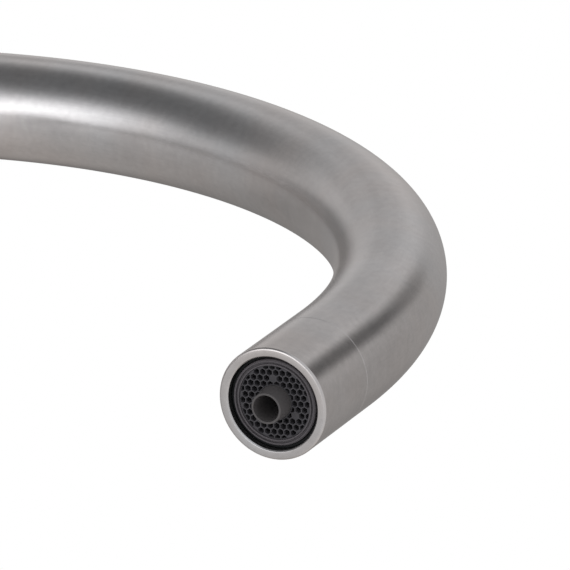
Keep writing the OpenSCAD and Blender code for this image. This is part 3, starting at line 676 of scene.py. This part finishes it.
class Recipe(Graph):
    """A Geometry Nodes tree with named sizes, run once on a piece."""

    def __init__(self, name: str, sizes: dict[str, float | int]) -> None:
        """Makes the tree's inputs.

        Args:
            name: The tree's name.
            sizes: Each input's name and value; a whole number makes a whole-number input.
        """
        super().__init__(bpy.data.node_groups.new(name, "GeometryNodeTree"))
        self.sizes = sizes
        make = self.tree.interface.new_socket
        for way in ("INPUT", "OUTPUT"):
            make("Geometry", in_out=way, socket_type="NodeSocketGeometry")
        self.keys = {
            size: make(size, in_out="INPUT", socket_type=(
                "NodeSocketInt" if isinstance(value, int) else "NodeSocketFloat")).identifier
            for size, value in sizes.items()}
        self.entry = self.node("NodeGroupInput")

    def __getitem__(self, size: str) -> Value:
        """The input of that name."""
        return self.entry[size]

    def keep(self, shape: Value, name: str, kind: str, value: Value) -> Value:
        """Keeps a value of that kind on the shape's points, as an attribute of that name."""
        inputs = {"Geometry": shape, "Name": name, "Value": value}
        return self.geo("StoreNamedAttribute", inputs, data_type=kind)

    def cut(self, bodies: dict[str, Value | list[Value]], how: Cut = Cut.REMOVE) -> Value:
        """What is left of closed bodies, by the Mesh Boolean node's sockets."""
        return self.geo("MeshBoolean", bodies, solver="MANIFOLD", operation=how.value)

    def run(self, piece: Piece, shape: Value, finish: Finish, lathe: Lathe) -> None:
        """Ends the tree and replaces the piece's mesh with what it makes.

        Args:
            piece: The piece whose mesh goes in.
            shape: The finished geometry.
            finish: The finish that it gets.
            lathe: Takes the result from millimetres to its place.
        """
        whole = self.geo("RealizeInstances", {0: shape})
        done = self.geo("SetMaterial", {"Geometry": whole, "Material": finish.material()})
        self.node("NodeGroupOutput", {0: done})
        step = piece.modifiers.new(self.tree.name, "NODES")
        step.node_group = self.tree
        for size, value in self.sizes.items():
            step[self.keys[size]] = value
        settle(piece)
        piece.data.transform(lathe.matrix)
        log.info("%s: %s made %d faces", piece.name, self.tree.name, len(piece.data.polygons))


@dataclass
class Gooseneck:
    """The bent tube of the spout."""

    radius: float = 11.0
    wall: float = 1.2
    foot: float = 135.6
    bend_start: float = 241.5
    bend_radius: float = 112.0
    end: float = 233.0
    edge_width: float = 0.08
    edge_angle: float = 60.0

    def build(self) -> None:
        """Sweeps a ring along the tube's middle line and gives it its wall."""
        graph = Recipe("bent_tube", {
            "radius": self.radius, "foot": self.foot, "rise": self.bend_start - self.foot,
            "bend_radius": self.bend_radius, "drop": self.bend_start - self.end,
            "rings": 300, "segments": 128})
        bend, rise = graph["bend_radius"], graph["rise"]
        length = rise + bend * math.pi + graph["drop"]
        way = graph.geo("InputIndex") * length / (graph["rings"] - 1)
        turn = ((way - rise) / bend).clamp(0.0, math.pi)
        low = graph.math("MINIMUM", way, rise)
        past = graph.math("MAXIMUM", way - rise - bend * math.pi, 0.0)
        middle = graph.combine(0.0, (graph.math("COSINE", turn) - 1) * bend,
                               graph["foot"] + low + graph.math("SINE", turn) * bend - past)
        line = graph.geo("CurvePrimitiveLine", {"End": (0.0, 0.0, 1.0)})
        line = graph.geo("ResampleCurve", {"Curve": line, "Count": graph["rings"]})
        line = graph.geo("SetPosition", {"Geometry": line, "Position": middle})
        line = graph.keep(line, "way", "FLOAT", way)
        ring = graph.geo("CurvePrimitiveCircle", {
            "Radius": graph["radius"], "Resolution": graph["segments"]})
        ring = graph.keep(ring, "rim", "FLOAT_VECTOR", graph.geo("InputPosition"))
        tube = graph.geo("CurveToMesh", {"Curve": line, "Profile Curve": ring})
        along = graph.geo("InputNamedAttribute", {"Name": "way"}, data_type="FLOAT")
        rim = graph.geo("InputNamedAttribute", {"Name": "rim"}, data_type="FLOAT_VECTOR")
        x, y, _ = graph.separate(rim)
        straight = graph.vector("MULTIPLY", graph.combine(along, x, y), (MM, MM, MM))
        tube = graph.keep(tube, "straight", "FLOAT_VECTOR", straight)
        piece = blank("gooseneck_tube")
        graph.run(piece, tube, steel(None), Lathe.RISER)
        face_out(piece)
        shell = piece.modifiers.new("wall", "SOLIDIFY")
        shell.thickness, shell.offset = self.wall * MM, -1.0
        edge = piece.modifiers.new("edge", "BEVEL")
        edge.limit_method, edge.width = "ANGLE", self.edge_width * MM
        edge.angle_limit = math.radians(self.edge_angle)
        settle(piece)
        dress(piece, steel(None), "spout", "satin_steel", "spout_tube")
        paint(LINE, "filter_line")


@dataclass
class Outlet:
    """The turned end of the spout, with the honeycomb and the nozzle in its mouth."""

    mouth: float = 9.15
    rim: float = 11.0
    recess: float = 0.85
    housing: float = 8.42
    hub_bore: float = 3.35
    face: float = 1.15
    back: float = 3.2
    cells_end: float = 7.1
    pitch: float = 1.34
    across: float = 1.06
    flare: float = 0.14
    turn: float = 3.7
    posts: tuple[tuple[int, int], ...] = ((2, 2), (-4, 2), (2, -4))

    def build(self) -> None:
        """Makes the outlet's pieces, from the outside inwards."""
        self.sleeve()
        self.housing_rings()
        self.honeycomb()
        self.nozzle()
        paint(GREY, "jet_plate")
        paint(bare_steel(Lathe.OUTLET), "inlet_screen")
        paint(RUBBER, "aerator_seal", "nozzle_o_ring")

    def sleeve(self) -> None:
        """Turns the sleeve, with its round rim, chamfered mouth, inner shoulder and spigot."""
        m, r = self.mouth, self.rim
        profile = soften([
            (m, 11), (m, 0.25, 0.1), (m + 0.25, 0, 0.12), (r, 0, 0.5), (r, 18, 0.05), (9.75, 18),
            (9.75, 23, 0.2), (7.55, 23), (7.55, 11, 0.2)], 6)
        piece = turned("outlet_sleeve_turned", profile, Lathe.OUTLET, 192)
        dress(piece, steel(Lathe.OUTLET), "spout", "satin_steel", "outlet_sleeve")

    def housing_rings(self) -> None:
        """Turns the thin holder and the housing that screws into it, with its face's groove."""
        holder = soften([(8.5, 1.6, 0.12), (9.1, 1.6, 0.12), (9.1, 10), (8.5, 10)])
        piece = turned("outlet_holder_ring", holder, Lathe.OUTLET)
        dress(piece, BLACK, "spout", "black_plastic", "aerator_holder")
        r, low = self.housing, self.recess
        housing = soften([
            (7.3, low, 0.07), (7.55, low, 0.07), (7.62, 1.3), (7.92, 1.3), (8.0, low, 0.05),
            (r - 0.25, low, 0.06), (r, 1.1, 0.06), (r, 10), (7.6, 10), (7.6, 2.2), (7.3, 2.2)])
        piece = turned("outlet_housing_ring", housing, Lathe.OUTLET, 160)
        dress(piece, HOUSING, "spout", "grey_plastic", "aerator_housing")

    def honeycomb(self) -> None:
        """Turns a stepped disc and cuts the cells into it."""
        bore, face, back = self.hub_bore, self.face, self.back
        graph = Recipe("honeycomb_cells", {
            "pitch": self.pitch, "across": self.across, "hub": bore + 0.15,
            "rim": self.cells_end, "low": face, "high": back, "flare": self.flare,
            "turn": math.radians(-90 - self.turn), "rows": 19})
        profile = [(bore, face, 0.06), (7.25, face, 0.05), (7.25, 2.25), (7.55, 2.25),
                   (7.55, back), (bore, back)]
        disc = graph.cut({"Mesh 1": graph["Geometry"], "Mesh 2": self.cells(graph)})
        piece = turned("honeycomb_disc", soften(profile, 3), None, 144)
        graph.run(piece, disc, GREY, Lathe.OUTLET)
        dress(piece, GREY, "spout", "grey_plastic", "honeycomb", sharp=24.0)

    def cells(self, graph: Recipe) -> Value:
        """Six-sided cells, a little flared at both faces, between the hub and the rim.

        Args:
            graph: The recipe, with the honeycomb's sizes.
        Returns:
            The bodies that are cut out, on a lattice of triangles with a gap for each post.
        """
        pitch, rows = graph["pitch"], graph["rows"]
        span = (rows - 1) * pitch
        lattice = graph.geo("MeshGrid", {
            "Size X": span, "Size Y": span, "Vertices X": rows, "Vertices Y": rows})
        x, y, _ = graph.separate(graph.geo("InputPosition"))
        slope = math.sin(math.radians(60))
        centre = graph.combine(x + y * 0.5, y * slope, 0.0)
        lattice = graph.geo("SetPosition", {"Geometry": lattice, "Position": centre})
        spot = graph.geo("InputPosition")
        reach = graph.vector("LENGTH", spot)["Value"]
        kept = (reach > graph["hub"]) * (reach < graph["rim"] + pitch * 0.07)
        for i, j in self.posts:
            post = graph.combine(pitch * (i + j / 2), pitch * (j * slope), 0.0)
            kept = kept * (graph.vector("DISTANCE", spot, post)["Value"] > 0.1)
        depth = graph["high"] - graph["low"] + 0.3
        cell = graph.geo("MeshCylinder", {
            "Vertices": 6, "Side Segments": 8, "Radius": graph["across"] / math.sqrt(3),
            "Depth": depth})
        x, y, z = graph.separate(graph.geo("InputPosition"))
        wide = (graph.math("ABSOLUTE", z) > depth * 0.4) * graph["flare"] + 1
        cell = graph.geo("SetPosition", {
            "Geometry": cell, "Position": graph.combine(x * wide, y * wide, z)})
        cells = graph.geo("InstanceOnPoints", {
            "Points": lattice, "Selection": kept, "Instance": cell,
            "Rotation": (0.0, 0.0, math.radians(30))})
        cells = graph.geo("RealizeInstances", {0: cells})
        cells = graph.geo("Transform", {
            "Geometry": cells, "Rotation": graph.combine(0.0, 0.0, graph["turn"]),
            "Translation": graph.combine(0.0, 0.0, (graph["low"] + graph["high"]) * 0.5)})
        hub, rim = (graph.geo("MeshCylinder", {
            "Vertices": 144, "Radius": graph[edge], "Depth": 12.0}) for edge in ("hub", "rim"))
        cells = graph.cut({"Mesh 1": cells, "Mesh 2": hub})
        return graph.cut({"Mesh 2": [cells, rim]}, Cut.OVERLAP)

    def nozzle(self) -> None:
        """Turns the nozzle: flared outlet, flange on the honeycomb and grooved spigot."""
        profile = soften([
            (2.6, -2.65, 0.1), (3.0, -2.65, 0.14), (3.3, 1.25, 0.5), (3.3, 3.25),
            (4.4, 3.25, 0.1), (4.4, 4.15, 0.1), (3.3, 4.15), (3.3, 13, 0.2), (2.8, 13),
            (2.8, 18.48), (2.0, 18.48), (2.0, 19.52), (2.8, 19.52), (2.8, 22, 0.2), (1.5, 22),
            (1.5, 10), (2.6, 10)], 6)
        piece = turned("filtered_water_nozzle", profile, Lathe.OUTLET)
        dress(piece, NOZZLE, "spout", "grey_plastic", "filter_nozzle")


@dataclass
class Column:
    """The body with its two valve barrels, its base ring and the swivel's parts."""

    radius: float = 23.0
    height: float = 130.0
    shoulder: float = 12.0
    shoulder_z: float = 119.335
    shoulder_reach: float = 5.5
    chamber: float = 13.25
    chamber_z: float = 100.0
    hose_ring: float = 6.6
    hose_bore: float = 4.5
    hoses: tuple[float, ...] = (60.0, -60.0, 180.0)
    stop_screw_z: float = 109.0

    def build(self) -> None:
        """Makes the column's own pieces and paints those that show through its joints."""
        satin = steel(Lathe.RISER)
        self.body()
        ring = soften([(16.3, 2), (27, 2, 0.3), (27, 7, 2.5), (16.3, 7)], 8)
        piece = turned("base_ring_turned", ring, segments=160)
        dress(piece, satin, "root", "satin_steel", "base_ring")
        collar = soften([
            (11.05, 135.6), (15.75, 135.6, 0.15), (15.75, 143.6, 3), (11.05, 143.6, 0.15)], 8)
        dress(turned("spout_collar_turned", collar), satin, "spout", "satin_steel", "spout_collar")
        paint(satin, "spout_socket")
        paint(brass(Lathe.RISER), "line_nipple")
        paint(WHITE, "glide_ring")
        paint(RUBBER, "nipple_o_ring", "spout_o_rings")
        paint(bare_steel(Lathe.RISER), "stop_screw")

    def body(self) -> None:
        """Turns the column, joins the two barrels and drills its pockets and waterways."""
        r, top = self.radius, math.degrees(math.acos(self.shoulder_reach / self.shoulder))
        profile = [(0.0, 7.0), (r - 0.3, 7.0), (r, 7.3)]
        profile += arc((r - self.shoulder, self.shoulder_z), self.shoulder, 0, top, 20)
        profile += [(self.chamber, self.height), (self.chamber, self.chamber_z),
                    (0.0, self.chamber_z)]
        piece = turned("column_body", profile, segments=192)
        barrels: list[Piece] = []
        for radius, end, lathe, segments in (
                (17, 41, Lathe.MIXER, 160), (14, 40, Lathe.FILTER, 144)):
            barrel = [(0, 0), (radius, 0), (radius, end - 0.4), (radius - 0.4, end), (0, end)]
            barrels.append(turned("barrel", barrel, lathe, segments))
        carve(piece, barrels, Cut.JOIN)
        tools = [
            drill(13.0, 14, 43, Lathe.MIXER, segments=128), drill(7.8, 8, 20.5, Lathe.FILTER),
            drill(9.5, 20, 33, Lathe.FILTER), drill(12.4, 32.5, 42, Lathe.FILTER, segments=96),
            drill(16.05, 5, 19, Lathe.RISER, segments=144)]
        for angle in map(math.radians, self.hoses):
            place = Vector((math.cos(angle), math.sin(angle), 0)) * self.hose_ring
            tools.append(drill(self.hose_bore, 18, 31, Lathe.RISER, Matrix.Translation(place)))
        lift = Matrix.Translation((0, 0, self.stop_screw_z))
        across = lift @ Matrix.Rotation(-math.pi / 2, 4, "X")
        tools.append(drill(2.55, 12.5, 25, Lathe.RISER, across, 48))
        carve(piece, tools)
        dress(piece, steel(Lathe.RISER), "root", "satin_steel", "body")


@dataclass
class Fixing:
    """What clamps the tap to the worktop, from the gasket down to the nut."""

    thread: float = 16.0
    depth: float = 0.9
    pitch: float = 2.309
    thread_low: float = -55.0
    thread_high: float = 18.2
    thread_steps: int = 300
    nut_low: float = -44.0
    nut_high: float = -36.5
    nut_flat: float = 20.0

    def build(self) -> None:
        """Makes the gaskets, the washer, the nut and the threaded shank."""
        rubber, zinc = (RUBBER, "black_rubber"), (ZINC, "zinc_steel")
        for node, inner, outer, low, high, (finish, slot) in (
                ("base_gasket", 16.4, 25.5, 0.0, 2.0, rubber),
                ("clamp_gasket", 16.4, 26.0, -33.0, -30.0, rubber),
                ("clamp_washer", 16.3, 26.0, -35.0, -33.0, zinc)):
            profile = soften([
                (inner, low, 0.25), (outer, low, 0.4), (outer, high, 0.4), (inner, high, 0.25)])
            dress(turned(f"{node}_ring", profile), finish, "root", slot, node)
        self.nut()
        self.shank()

    def nut(self) -> None:
        """Chamfers a six-sided bar, joins its flange and bores it."""
        low, high = self.nut_low, self.nut_high
        across = self.nut_flat / math.cos(math.radians(30))
        bar = [(0, low), (across, low), (across, high), (0, high)]
        piece = turned("shank_nut_flanged", bar, segments=6)
        cone = [(0, low), (20.4, low), (across + 0.4, -42.2), (across + 0.4, high), (0, high)]
        flange = soften([(0, -37), (21.5, -37, 0.5), (21.5, -35, 0.4), (0, -35)])
        bore = [(0, -45), (17.05, -45), (16.05, -43.4), (16.05, -35.6), (16.65, -35),
                (16.65, -34), (0, -34)]
        carve(piece, [turned("cutter", cone, segments=120)], Cut.OVERLAP)
        carve(piece, [turned("flange", flange)], Cut.JOIN)
        carve(piece, [turned("cutter", bore)])
        dress(piece, brass(Lathe.RISER), "root", "brass", "shank_nut")

    def shank(self) -> None:
        """Turns the shank and rolls its thread with a screw-shaped move of its points."""
        low, high, steps = self.thread_low, self.thread_high, self.thread_steps
        side = [(self.thread, low + (high - low) * k / steps) for k in range(steps + 1)]
        lead_in = [(12.5, -62), (14.2, -62), (15, -61.2), (15, -56)]
        piece = turned("shank_threaded", lead_in + side + [(15.2, 19), (12.5, 19)], None, 96)
        graph = Recipe("rolled_thread", {
            "pitch": self.pitch, "depth": self.depth, "crest": self.thread, "low": low,
            "high": high})
        x, y, z = graph.separate(graph.geo("InputPosition"))
        radius = graph.math("SQRT", x * x + y * y)
        turn = graph.math("ARCTAN2", y, x) / (2 * math.pi)
        phase = graph.math("FRACT", z / graph["pitch"] - turn)
        flank = (graph.math("ABSOLUTE", phase * 2 - 1) * 1.6 - 0.3).clamp()
        ends = ((z - graph["low"]) / 2).clamp() * ((graph["high"] - z) / 2).clamp()
        outer = radius > graph["crest"] - 0.1
        shrink = 1 - flank * ends * outer * graph["depth"] / radius
        moved = graph.geo("SetPosition", {
            "Geometry": graph["Geometry"], "Position": graph.combine(x * shrink, y * shrink, z)})
        graph.run(piece, moved, brass(Lathe.RISER), Lathe.RISER)
        dress(piece, brass(Lathe.RISER), "root", "brass", "shank", sharp=50.0)


@dataclass(frozen=True)
class Lever:
    """A round lever that stands on a handle, with its pin in the handle."""

    name: str
    lathe: Lathe
    side: Lathe
    radius: float
    length: float
    barrel: float
    step: float = 0.85
    play: float = 0.05
    screw_bore: float = 2.5
    plug_bore: float = 3.2
    plug_depth: float = 3.3

    def build(self) -> None:
        """Turns the lever, hollows its foot to the handle's round and joins its pin."""
        r, pin = self.radius, self.radius - self.step
        grip = [(0.0, -1.0), (r, -1.0)] + arc((0, self.length - r), r, 0, 90, 12)[:-1]
        piece = turned(f"{self.name}_pin", grip + [(0.0, self.length)], self.lathe, 72)
        along = abs(self.lathe.value[1][0])
        carve(piece, [drill(self.barrel + 0.02, along - 6, along + 6, self.side, segments=160)])
        foot = soften([(0, -7.8), (pin, -7.8, 0.3), (pin, 0.8), (0, 0.8)])
        carve(piece, [turned("pin", foot, self.lathe, 48)], Cut.JOIN)
        dress(piece, steel(self.lathe), self.name, "satin_steel", self.name)

    def bores(self) -> list[Piece]:
        """Makes what drills the handle.

        Returns:
            Cutters for the pin, for the grub screw below it and for the screw's plug.
        """
        far = -2 * self.barrel - 1.5
        return [drill(radius, low, high, self.lathe) for radius, low, high in (
            (self.radius - self.step + self.play, -8, 3), (self.screw_bore, far, -self.barrel),
            (self.plug_bore, far, far + self.plug_depth))]


@dataclass
class MixerValve:
    """The cartridge, its dome and the tilting handle with its lever."""

    radius: float = 17.0
    pivot: float = 33.0
    dome: float = 20.0
    wall: float = 1.4
    gap: float = 0.6
    opening: float = 33.5
    spigot: float = 11.4
    spigot_top: float = 42.6
    end: float = 64.0
    corner: float = 0.8
    stem_bore: float = 3.65
    stem_top: float = 61.6
    lever: Lever = Lever("mixer_lever", Lathe.MIXER_LEVER, Lathe.MIXER, 3.5, 60.0, 17.0)

    def build(self) -> None:
        """Makes the dome, the handle and the lever, and paints the cartridge."""
        self.cover()
        self.handle()
        self.lever.build()
        paint(steel(Lathe.MIXER), "mixer_plug")
        paint(bare_steel(Lathe.MIXER), "mixer_stem", "pivot_pin", "mixer_screw")
        paint(brass(Lathe.MIXER), "cartridge_nut")
        paint(WHITE, "cartridge_housing", "cartridge_base", "carrier")
        paint(RUBBER, "port_seals")
        paint(CERAMIC, "fixed_disc", "moving_disc")

    def ball(self, radius: float, start: float, end: float) -> list[Point]:
        """The outline of a ball round the pivot, between two distances from the valve's axis."""
        low, high = (math.degrees(math.acos(r / radius)) for r in (start, end))
        return arc((0, self.pivot), radius, low, high, 24)

    def cover(self) -> None:
        """Turns the dome, with its spigot in the barrel and its opening for the stem."""
        inner = self.dome - self.wall
        hole = self.dome * math.sin(math.radians(self.opening))
        rim = math.sqrt(inner ** 2 - (self.spigot_top - self.pivot) ** 2)
        profile = [(self.spigot, 39.6), (12.9, 39.6), (12.9, 41.2), (16.8, 41.2), (17.0, 41.4)]
        profile += self.ball(self.dome, self.radius, hole) + self.ball(inner, hole, rim)
        profile += [(self.spigot, self.spigot_top)]
        piece = turned("dome_cover_turned", profile, Lathe.MIXER, 160)
        dress(piece, steel(Lathe.MIXER), "root", "satin_steel", "dome_cover")

    def handle(self) -> None:
        """Turns the handle, hollow over the dome, and drills it for lever and grub screw."""
        r, c, hollow = self.radius, self.corner, self.dome + self.gap
        edge = self.pivot + math.sqrt(hollow ** 2 - r ** 2)
        profile = [(r, edge + 0.12), (r, self.end - c)]
        profile += arc((r - c, self.end - c), c, 0, 90, 6)
        profile += [(0.0, self.end), (0.0, self.stem_top), (self.stem_bore, self.stem_top)]
        profile += self.ball(hollow, self.stem_bore, r - 0.08)
        piece = turned("mixer_handle_turned", profile, Lathe.MIXER, 160)
        carve(piece, self.lever.bores())
        dress(piece, steel(Lathe.MIXER), "mixer_lever", "satin_steel", "mixer_handle")


@dataclass
class FilterValve:
    """The quarter-turn headwork and its handle with its lever."""

    radius: float = 14.0
    start: float = 41.0
    end: float = 60.0
    lever: Lever = Lever("filter_lever", Lathe.FILTER_LEVER, Lathe.FILTER, 3.0, 48.0, 14.0)

    def build(self) -> None:
        """Turns and drills the handle, makes the lever and paints the headwork."""
        r = self.radius
        profile = soften([
            (11.6, self.start, 0.2), (r, self.start, 0.8), (r, self.end, 0.8), (0, self.end),
            (0, 56.8), (3.55, 56.8), (3.55, 46.2), (11.6, 46.2)], 6)
        piece = turned("filter_handle_turned", profile, Lathe.FILTER, 144)
        carve(piece, self.lever.bores())
        dress(piece, steel(Lathe.FILTER), "filter_lever", "satin_steel", "filter_handle")
        self.lever.build()
        paint(steel(Lathe.FILTER), "filter_plug")
        paint(bare_steel(Lathe.FILTER), "spindle_clip", "filter_screw")
        paint(brass(Lathe.FILTER), "filter_valve", "filter_spindle")
        paint(RUBBER, "filter_seal")
        paint(CERAMIC, "filter_fixed_disc", "filter_moving_disc")


@dataclass(frozen=True)
class Panel:
    """One soft card or light of the studio, as the tap's reflections see it."""

    azimuth: float
    elevation: float
    spread: float
    light: float
    edge: float = 1.0

    @property
    def direction(self) -> Spot:
        """Where it stands, with azimuth from +Y towards +X, in degrees."""
        a, e = math.radians(self.azimuth), math.radians(self.elevation)
        return math.sin(a) * math.cos(e), math.cos(a) * math.cos(e), math.sin(e)


@dataclass
class Studio:
    """The camera, the surrounding light, the lamp and the pale floor."""

    eye: Spot = (-0.503250, -0.824656, -0.998774)
    right: Spot = (0.01754459, -0.89976301, 0.43602605)
    down: Spot = (0.94241391, -0.13079096, -0.30781448)
    view: Spot = (0.33398835, 0.41631749, 0.8456545)
    lens: float = 492.8
    sensor: float = 36.0
    ambient: float = 0.95
    darkest: float = 0.02
    brightest: float = 6.0
    cool: Color = (0.968, 1.0, 1.051)
    warm: Color = (1.053, 1.0, 0.973)
    warm_side: Spot = (0.87, 0.22, 0.44)
    panels: tuple[Panel, ...] = (
        Panel(-57.1, -5.7, 4.4, -0.74, 3.2), Panel(-37.7, -39.3, 27.0, 0.75),
        Panel(29.4, 30.8, 8.8, -0.18, 3.4), Panel(-83.0, 49.7, 24.2, -0.26, 3.5),
        Panel(-136.1, 53.2, 55.2, -0.72, 3.4), Panel(-127.8, 70.8, 82.7, -0.4, 3.4),
        Panel(-42.6, 58.2, 60.1, -0.29, 1.5), Panel(124.4, 58.5, 3.0, -0.46, 2.1),
        Panel(-37.3, -68.2, 18.6, 2.1, 1.2), Panel(42.2, 9.2, 2.0, -0.4, 2.4),
        Panel(-30.2, 41.8, 30.6, -0.23, 3.5), Panel(39.0, -58.0, 30.0, -0.18))
    lamp_place: Spot = (-0.35, -0.55, 1.5)
    lamp_aim: Spot = (0.0, -0.1, 0.1)
    lamp_size: float = 0.9
    lamp_power: float = 6.0
    floor_middle: Spot = (0.0, -0.1, -0.0625)
    floor_radius: float = 1.6
    fade_start: float = 0.45

    def build(self) -> None:
        """Sets the stage."""
        self.camera()
        self.world()
        self.lamp()
        self.floor()
        bpy.context.scene.view_settings.view_transform = "Standard"
        log.info("studio: %d panels, one lamp, floor and camera", len(self.panels))

    def camera(self) -> None:
        """Puts the camera below the outlet, far off with a long lens, as in the photograph."""
        data = bpy.data.cameras.new("camera")
        data.lens, data.sensor_width, data.clip_end = self.lens, self.sensor, 50.0
        eye = blank("camera", data)
        axes = Matrix((Vector(self.right), -Vector(self.down), -Vector(self.view)))
        eye.matrix_world = Matrix.Translation(self.eye) @ axes.transposed().to_4x4()
        bpy.context.scene.camera = eye

    def world(self) -> None:
        """White where the camera looks, and round the tap a pale room with cards and lights."""
        world = bpy.data.worlds.new("studio")
        world.use_nodes = True
        bpy.context.scene.world = world
        graph = Graph(world.node_tree)
        where = graph.vector("NORMALIZE", graph.node("ShaderNodeTexCoord")["Generated"])
        total: Value | float = self.ambient
        for panel in self.panels:
            dot = graph.vector("DOT_PRODUCT", where, panel.direction)["Value"]
            away = graph.math("MAXIMUM", (1 - dot) * panel.spread, TINY)
            fall = graph.math("EXPONENT", -graph.math("POWER", away, panel.edge))
            total = fall * panel.light + total
        level = total.clamp(self.darkest, self.brightest)
        lean = graph.vector("DOT_PRODUCT", where, self.warm_side)["Value"] * 0.5 + 0.5
        tint = graph.mix(lean, self.cool, self.warm)
        room = graph.node("ShaderNodeVectorMath", {0: tint, "Scale": level}, operation="SCALE")
        path = graph.node("ShaderNodeLightPath")
        seen = graph.math("MAXIMUM", path["Is Camera Ray"], path["Is Transmission Ray"])
        color = graph.mix(seen, room, (1.0, 1.0, 1.0))
        sky = graph.node("ShaderNodeBackground", {"Color": color, "Strength": 1.0})
        graph.node("ShaderNodeOutputWorld", {"Surface": sky})

    def lamp(self) -> None:
        """A large soft lamp above, which the metal doesn't mirror."""
        data = bpy.data.lights.new("soft_lamp", "AREA")
        data.shape, data.size, data.energy = "DISK", self.lamp_size, self.lamp_power
        lamp = blank("soft_lamp", data)
        lamp.location = self.lamp_place
        aim = Vector(self.lamp_aim) - lamp.location
        lamp.rotation_euler = aim.to_track_quat("-Z", "Y").to_euler()
        lamp.visible_glossy = False

    def floor(self) -> None:
        """A pale floor under the shank, seen only from above and fading into the white around."""
        bpy.ops.mesh.primitive_circle_add(vertices=96, radius=self.floor_radius, fill_type="NGON")
        piece = bpy.context.object
        piece.name = "floor"
        piece.data.transform(Matrix.Translation(self.floor_middle))
        material = bpy.data.materials.new("pale_floor")
        material.use_nodes = True
        graph = Graph(material.node_tree)
        place = graph.place()
        away = graph.vector("LENGTH", graph.vector("SUBTRACT", place, self.floor_middle))["Value"]
        fade = ((away - self.fade_start) * 1.1).clamp()
        below = graph.node("ShaderNodeNewGeometry")["Backfacing"]
        color = graph.mix(graph.noise(place, 90.0, 3.0), (0.86, 0.86, 0.86), (0.9, 0.9, 0.895))
        pale = graph.node("ShaderNodeBsdfDiffuse", {"Color": color})
        clear = graph.node("ShaderNodeBsdfTransparent")
        hidden = graph.math("MAXIMUM", fade, below)
        surface = graph.node("ShaderNodeMixShader", {0: hidden, 1: pale, 2: clear})
        graph.node("ShaderNodeOutputMaterial", {"Surface": surface})
        piece.data.materials.append(material)
        piece.visible_glossy = piece.visible_shadow = False


def main() -> None:
    """Builds the studio and the tap."""
    logging.basicConfig(level=logging.INFO, format="%(message)s")
    for part in (Studio(), Column(), Fixing(), Gooseneck(), Outlet(), MixerValve(), FilterValve()):
        log.info("building %s", type(part).__name__)
        part.build()


if __name__ == "__main__":
    main()
